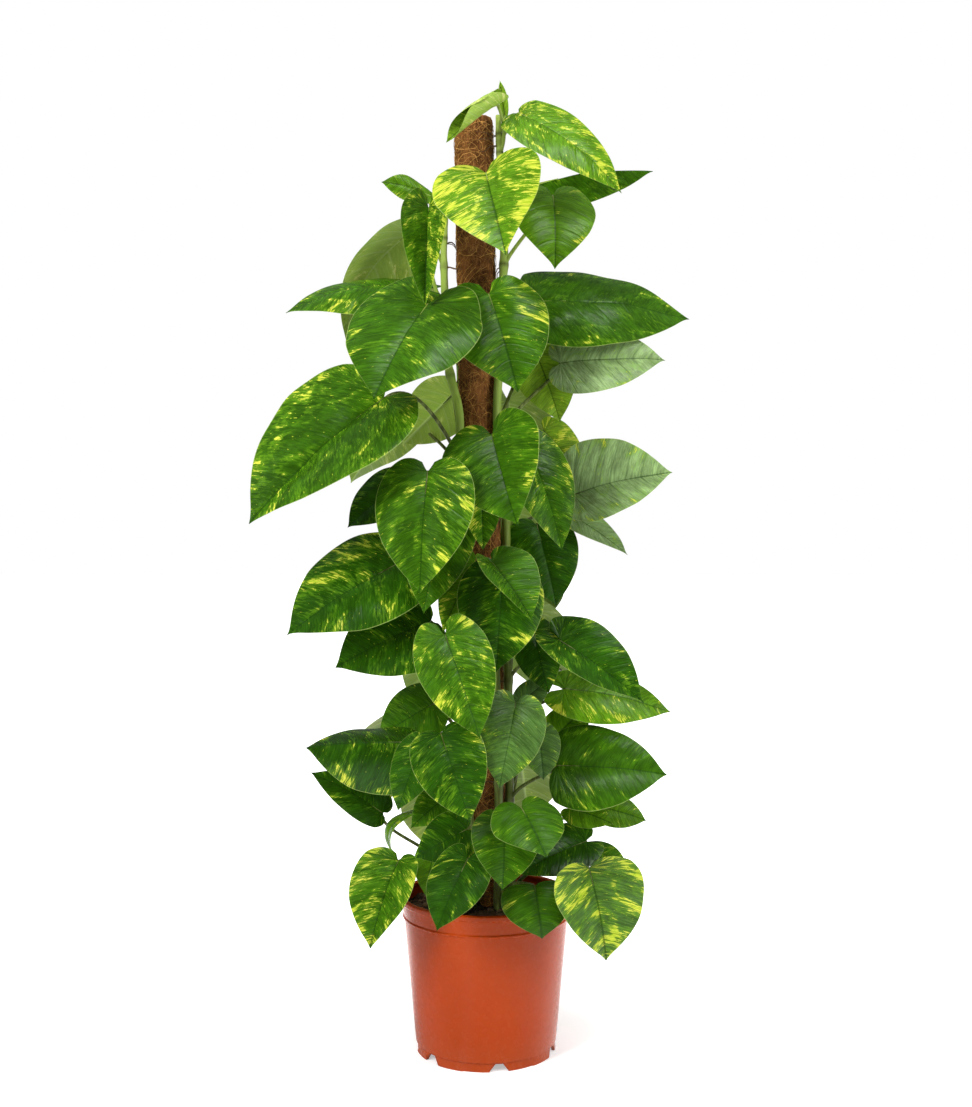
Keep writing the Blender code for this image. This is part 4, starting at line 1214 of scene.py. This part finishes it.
def build_pot(material):
    """The pot at full smoothness, with a stepped foot, notches and drain holes."""

    def stepped(radius, height, angle):
        """The outside of the foot stands out round every other notch."""
        if height > FOOT_HEIGHT - 2 * CORNER_RADIUS or radius < FOOT_RADIUS - 2 * CORNER_RADIUS:
            return radius
        notch = (math.degrees(angle) + 90.0 - NOTCH_PHASE) * NOTCH_COUNT / 360.0
        return radius + (FOOT_STEP if round(notch) % 2 else 0.0)

    verts, faces = revolve(rounded(pot_profile()), POT_SEGMENTS, stepped)
    pot = make_piece("pot_shell", verts, faces, [material], 40.0, "pot")
    mesh = bpy.data.meshes.new("foot_cutter")
    parts = foot_cutter()
    mesh.from_pydata([vert * CM for vert in parts.verts], [], parts.faces)
    cutter = bpy.data.objects.new("foot_cutter", mesh)
    bpy.context.collection.objects.link(cutter)
    subtract = pot.modifiers.new("notches", "BOOLEAN")
    subtract.operation = "DIFFERENCE"
    subtract.solver = "EXACT"
    subtract.object = cutter
    graph = bpy.context.evaluated_depsgraph_get()
    pot.data = bpy.data.meshes.new_from_object(pot.evaluated_get(graph), depsgraph=graph)
    pot.modifiers.clear()
    bpy.data.objects.remove(cutter, do_unlink=True)


def soil_radius():
    """The radius of the soil's surface, where it meets the pot's wall, and of its foot."""
    slope = (COLLAR_FOOT_RADIUS - BODY_FOOT_RADIUS) / (POT_HEIGHT - COLLAR_HEIGHT - FOOT_HEIGHT)
    foot = BODY_FOOT_RADIUS - WALL - 2 * GAP
    return foot + slope * (SOIL_TOP_Z - FLOOR_Z - WALL - GAP), foot


def soil_height(x, y):
    """The soil's surface: crowned, lumpy and a little lower at the wall."""
    crown = SOIL_CROWN_Z - (SOIL_CROWN_Z - SOIL_TOP_Z) * (math.hypot(x, y) / SOIL_CROWN_RADIUS) ** 2
    return crown - SOIL_SETTLING + lumps(Vector((x, y, 0.0)), SOIL_LUMPS)


def build_soil(material):
    """The potting soil, with a lumpy top."""
    top_radius, foot_radius = soil_radius()
    foot_z = FLOOR_Z + WALL + GAP
    profile = [(0.0, foot_z), (foot_radius, foot_z)]
    profile += [(top_radius * (1.0 - i / SOIL_RINGS), SOIL_TOP_Z) for i in range(SOIL_RINGS + 1)]
    verts, faces = revolve(profile, SOIL_SEGMENTS)
    for vert in verts:
        if vert.z > foot_z:
            vert.z = soil_height(vert.x, vert.y)
    make_piece("soil_surface", verts, faces, [material], replaced="potting_soil")


def crumb_shape():
    """A rounded lump: an icosahedron with each face split in four."""
    golden = (1.0 + math.sqrt(5.0)) / 2.0
    lump = bmesh.new()
    for a in (-1.0, 1.0):
        for b in (-golden, golden):
            for corner in ((0.0, a, b), (a, b, 0.0), (b, 0.0, a)):
                lump.verts.new(corner)
    bmesh.ops.convex_hull(lump, input=lump.verts)
    bmesh.ops.subdivide_edges(lump, edges=lump.edges, cuts=1, use_grid_fill=True)
    lump.verts.index_update()
    verts = [vert.co.normalized() for vert in lump.verts]
    faces = [tuple(vert.index for vert in face.verts) for face in lump.faces]
    lump.free()
    return verts, faces


def build_crumbs(material):
    """Loose crumbs on the soil, most of them small."""
    parts = Parts()
    rng = random.Random("crumbs")
    base, faces = crumb_shape()
    reach = soil_radius()[0] - 0.3
    for _ in range(CRUMB_COUNT):
        radius = reach * math.sqrt(rng.random())
        angle = rng.uniform(0, math.tau)
        x, y = radius * math.cos(angle), radius * math.sin(angle)
        size = CRUMB_SIZE + CRUMB_SPREAD * rng.random() ** 3
        squash = Vector((rng.uniform(0.7, 1.4), rng.uniform(0.7, 1.4), rng.uniform(0.5, 0.9)))
        seed = Vector((rng.uniform(0, 50), 0, 0))
        centre = Vector((x, y, soil_height(x, y) + 0.3 * size))
        verts = []
        for point in base:
            lump = 1.0 + 0.5 * noise.noise(point * 1.6 + seed)
            verts.append(centre + point * squash * size * lump)
        parts.add(verts, faces, mixed(*CRUMB_COLORS, rng.random() ** 3))
    parts.piece("soil_crumbs", material, "soil")


def build_lamp(name, place, target_z, size, power):
    """A softbox that looks at the plant's axis. A sheen shows only as a highlight, and others never do."""
    data = bpy.data.lights.new(name, "AREA")
    data.shape = "RECTANGLE"
    data.size, data.size_y = size
    data.energy = power
    lamp = bpy.data.objects.new(name, data)
    lamp.location = place
    target = Vector((0.0, 0.0, target_z))
    lamp.rotation_euler = (target - Vector(place)).to_track_quat("-Z", "Y").to_euler()
    lamp.visible_glossy = name.startswith("sheen")
    lamp.visible_diffuse = not lamp.visible_glossy
    bpy.context.collection.objects.link(lamp)


def build_camera():
    """The camera, level with the middle of the plant."""
    data = bpy.data.cameras.new("camera")
    data.lens = CAMERA_LENS
    data.sensor_width = CAMERA_SENSOR
    camera = bpy.data.objects.new("camera", data)
    camera.location = (0.0, -CAMERA_DISTANCE, CAMERA_HEIGHT)
    camera.rotation_euler = (math.pi / 2, 0.0, 0.0)
    bpy.context.collection.objects.link(camera)
    bpy.context.scene.camera = camera


def build_floor():
    """The white floor."""
    mesh = bpy.data.meshes.new("floor")
    corners = [(x * FLOOR_REACH, y * FLOOR_REACH, 0.0) for x, y in ((-1, -1), (1, -1), (1, 1), (-1, 1))]
    mesh.from_pydata(corners, [], [(0, 1, 2, 3)])
    mesh.materials.append(floor_material())
    floor = bpy.data.objects.new("floor", mesh)
    bpy.context.collection.objects.link(floor)


def build_world():
    """A white background. The light that it gives comes from above and behind, and the front is dim."""
    world = bpy.data.worlds.new("studio")
    world.use_nodes = True
    sky = Shader(world.node_tree)
    ways = sky.values(sky.node("TexCoord").outputs["Generated"])
    light = sky.largest(sky.step(ways[2], 0.1, 0.8), sky.step(ways[1], 0.3, 0.9, 0.0, 0.6))
    ray = sky.node("LightPath").outputs
    mirrored = sky.step(ray["Is Glossy Ray"], 0.0, 1.0, 1.0, GLOSS_LIGHT)
    strength = sky.times(sky.step(light, 0.0, 1.0, FRONT_LIGHT, BACK_LIGHT), mirrored)
    seen = sky.node("Background", {0: WHITE, 1: 1.0})
    soft = sky.tree.nodes["Background"]
    sky.fill(soft.inputs[0], WHITE)
    sky.fill(soft.inputs[1], strength)
    both = sky.node("MixShader", {0: ray["Is Camera Ray"], 1: soft.outputs[0], 2: seen.outputs[0]})
    sky.fill(sky.tree.nodes["World Output"].inputs[0], both.outputs[0])
    bpy.context.scene.world = world


def build_studio():
    """The camera, the floor, the world and the lights."""
    build_camera()
    build_floor()
    build_world()
    for lamp in LAMPS:
        build_lamp(*lamp)
    bpy.context.scene.view_settings.view_transform = "Standard"


def build_plant():
    """Every piece of the plant."""
    grid = BladeGrid()
    blade_materials = [leaf_upper_material(), leaf_under_material()]
    green = stem_material()
    for name, vine in VINES.items():
        build_leaves(name, vine, grid, blade_materials)
        build_stems(name, vine, green)
    build_roots(strand_material("root_brown"))
    build_coir_mat(coir_material())
    build_fibres(strand_material("coir_strand"))
    build_pot(pot_material())
    build_soil(soil_material())
    build_crumbs(strand_material("crumb", 0.95))
    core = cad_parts["pole_core"]
    core.data.materials.clear()
    core.data.materials.append(wood_material())


build_plant()
build_studio()
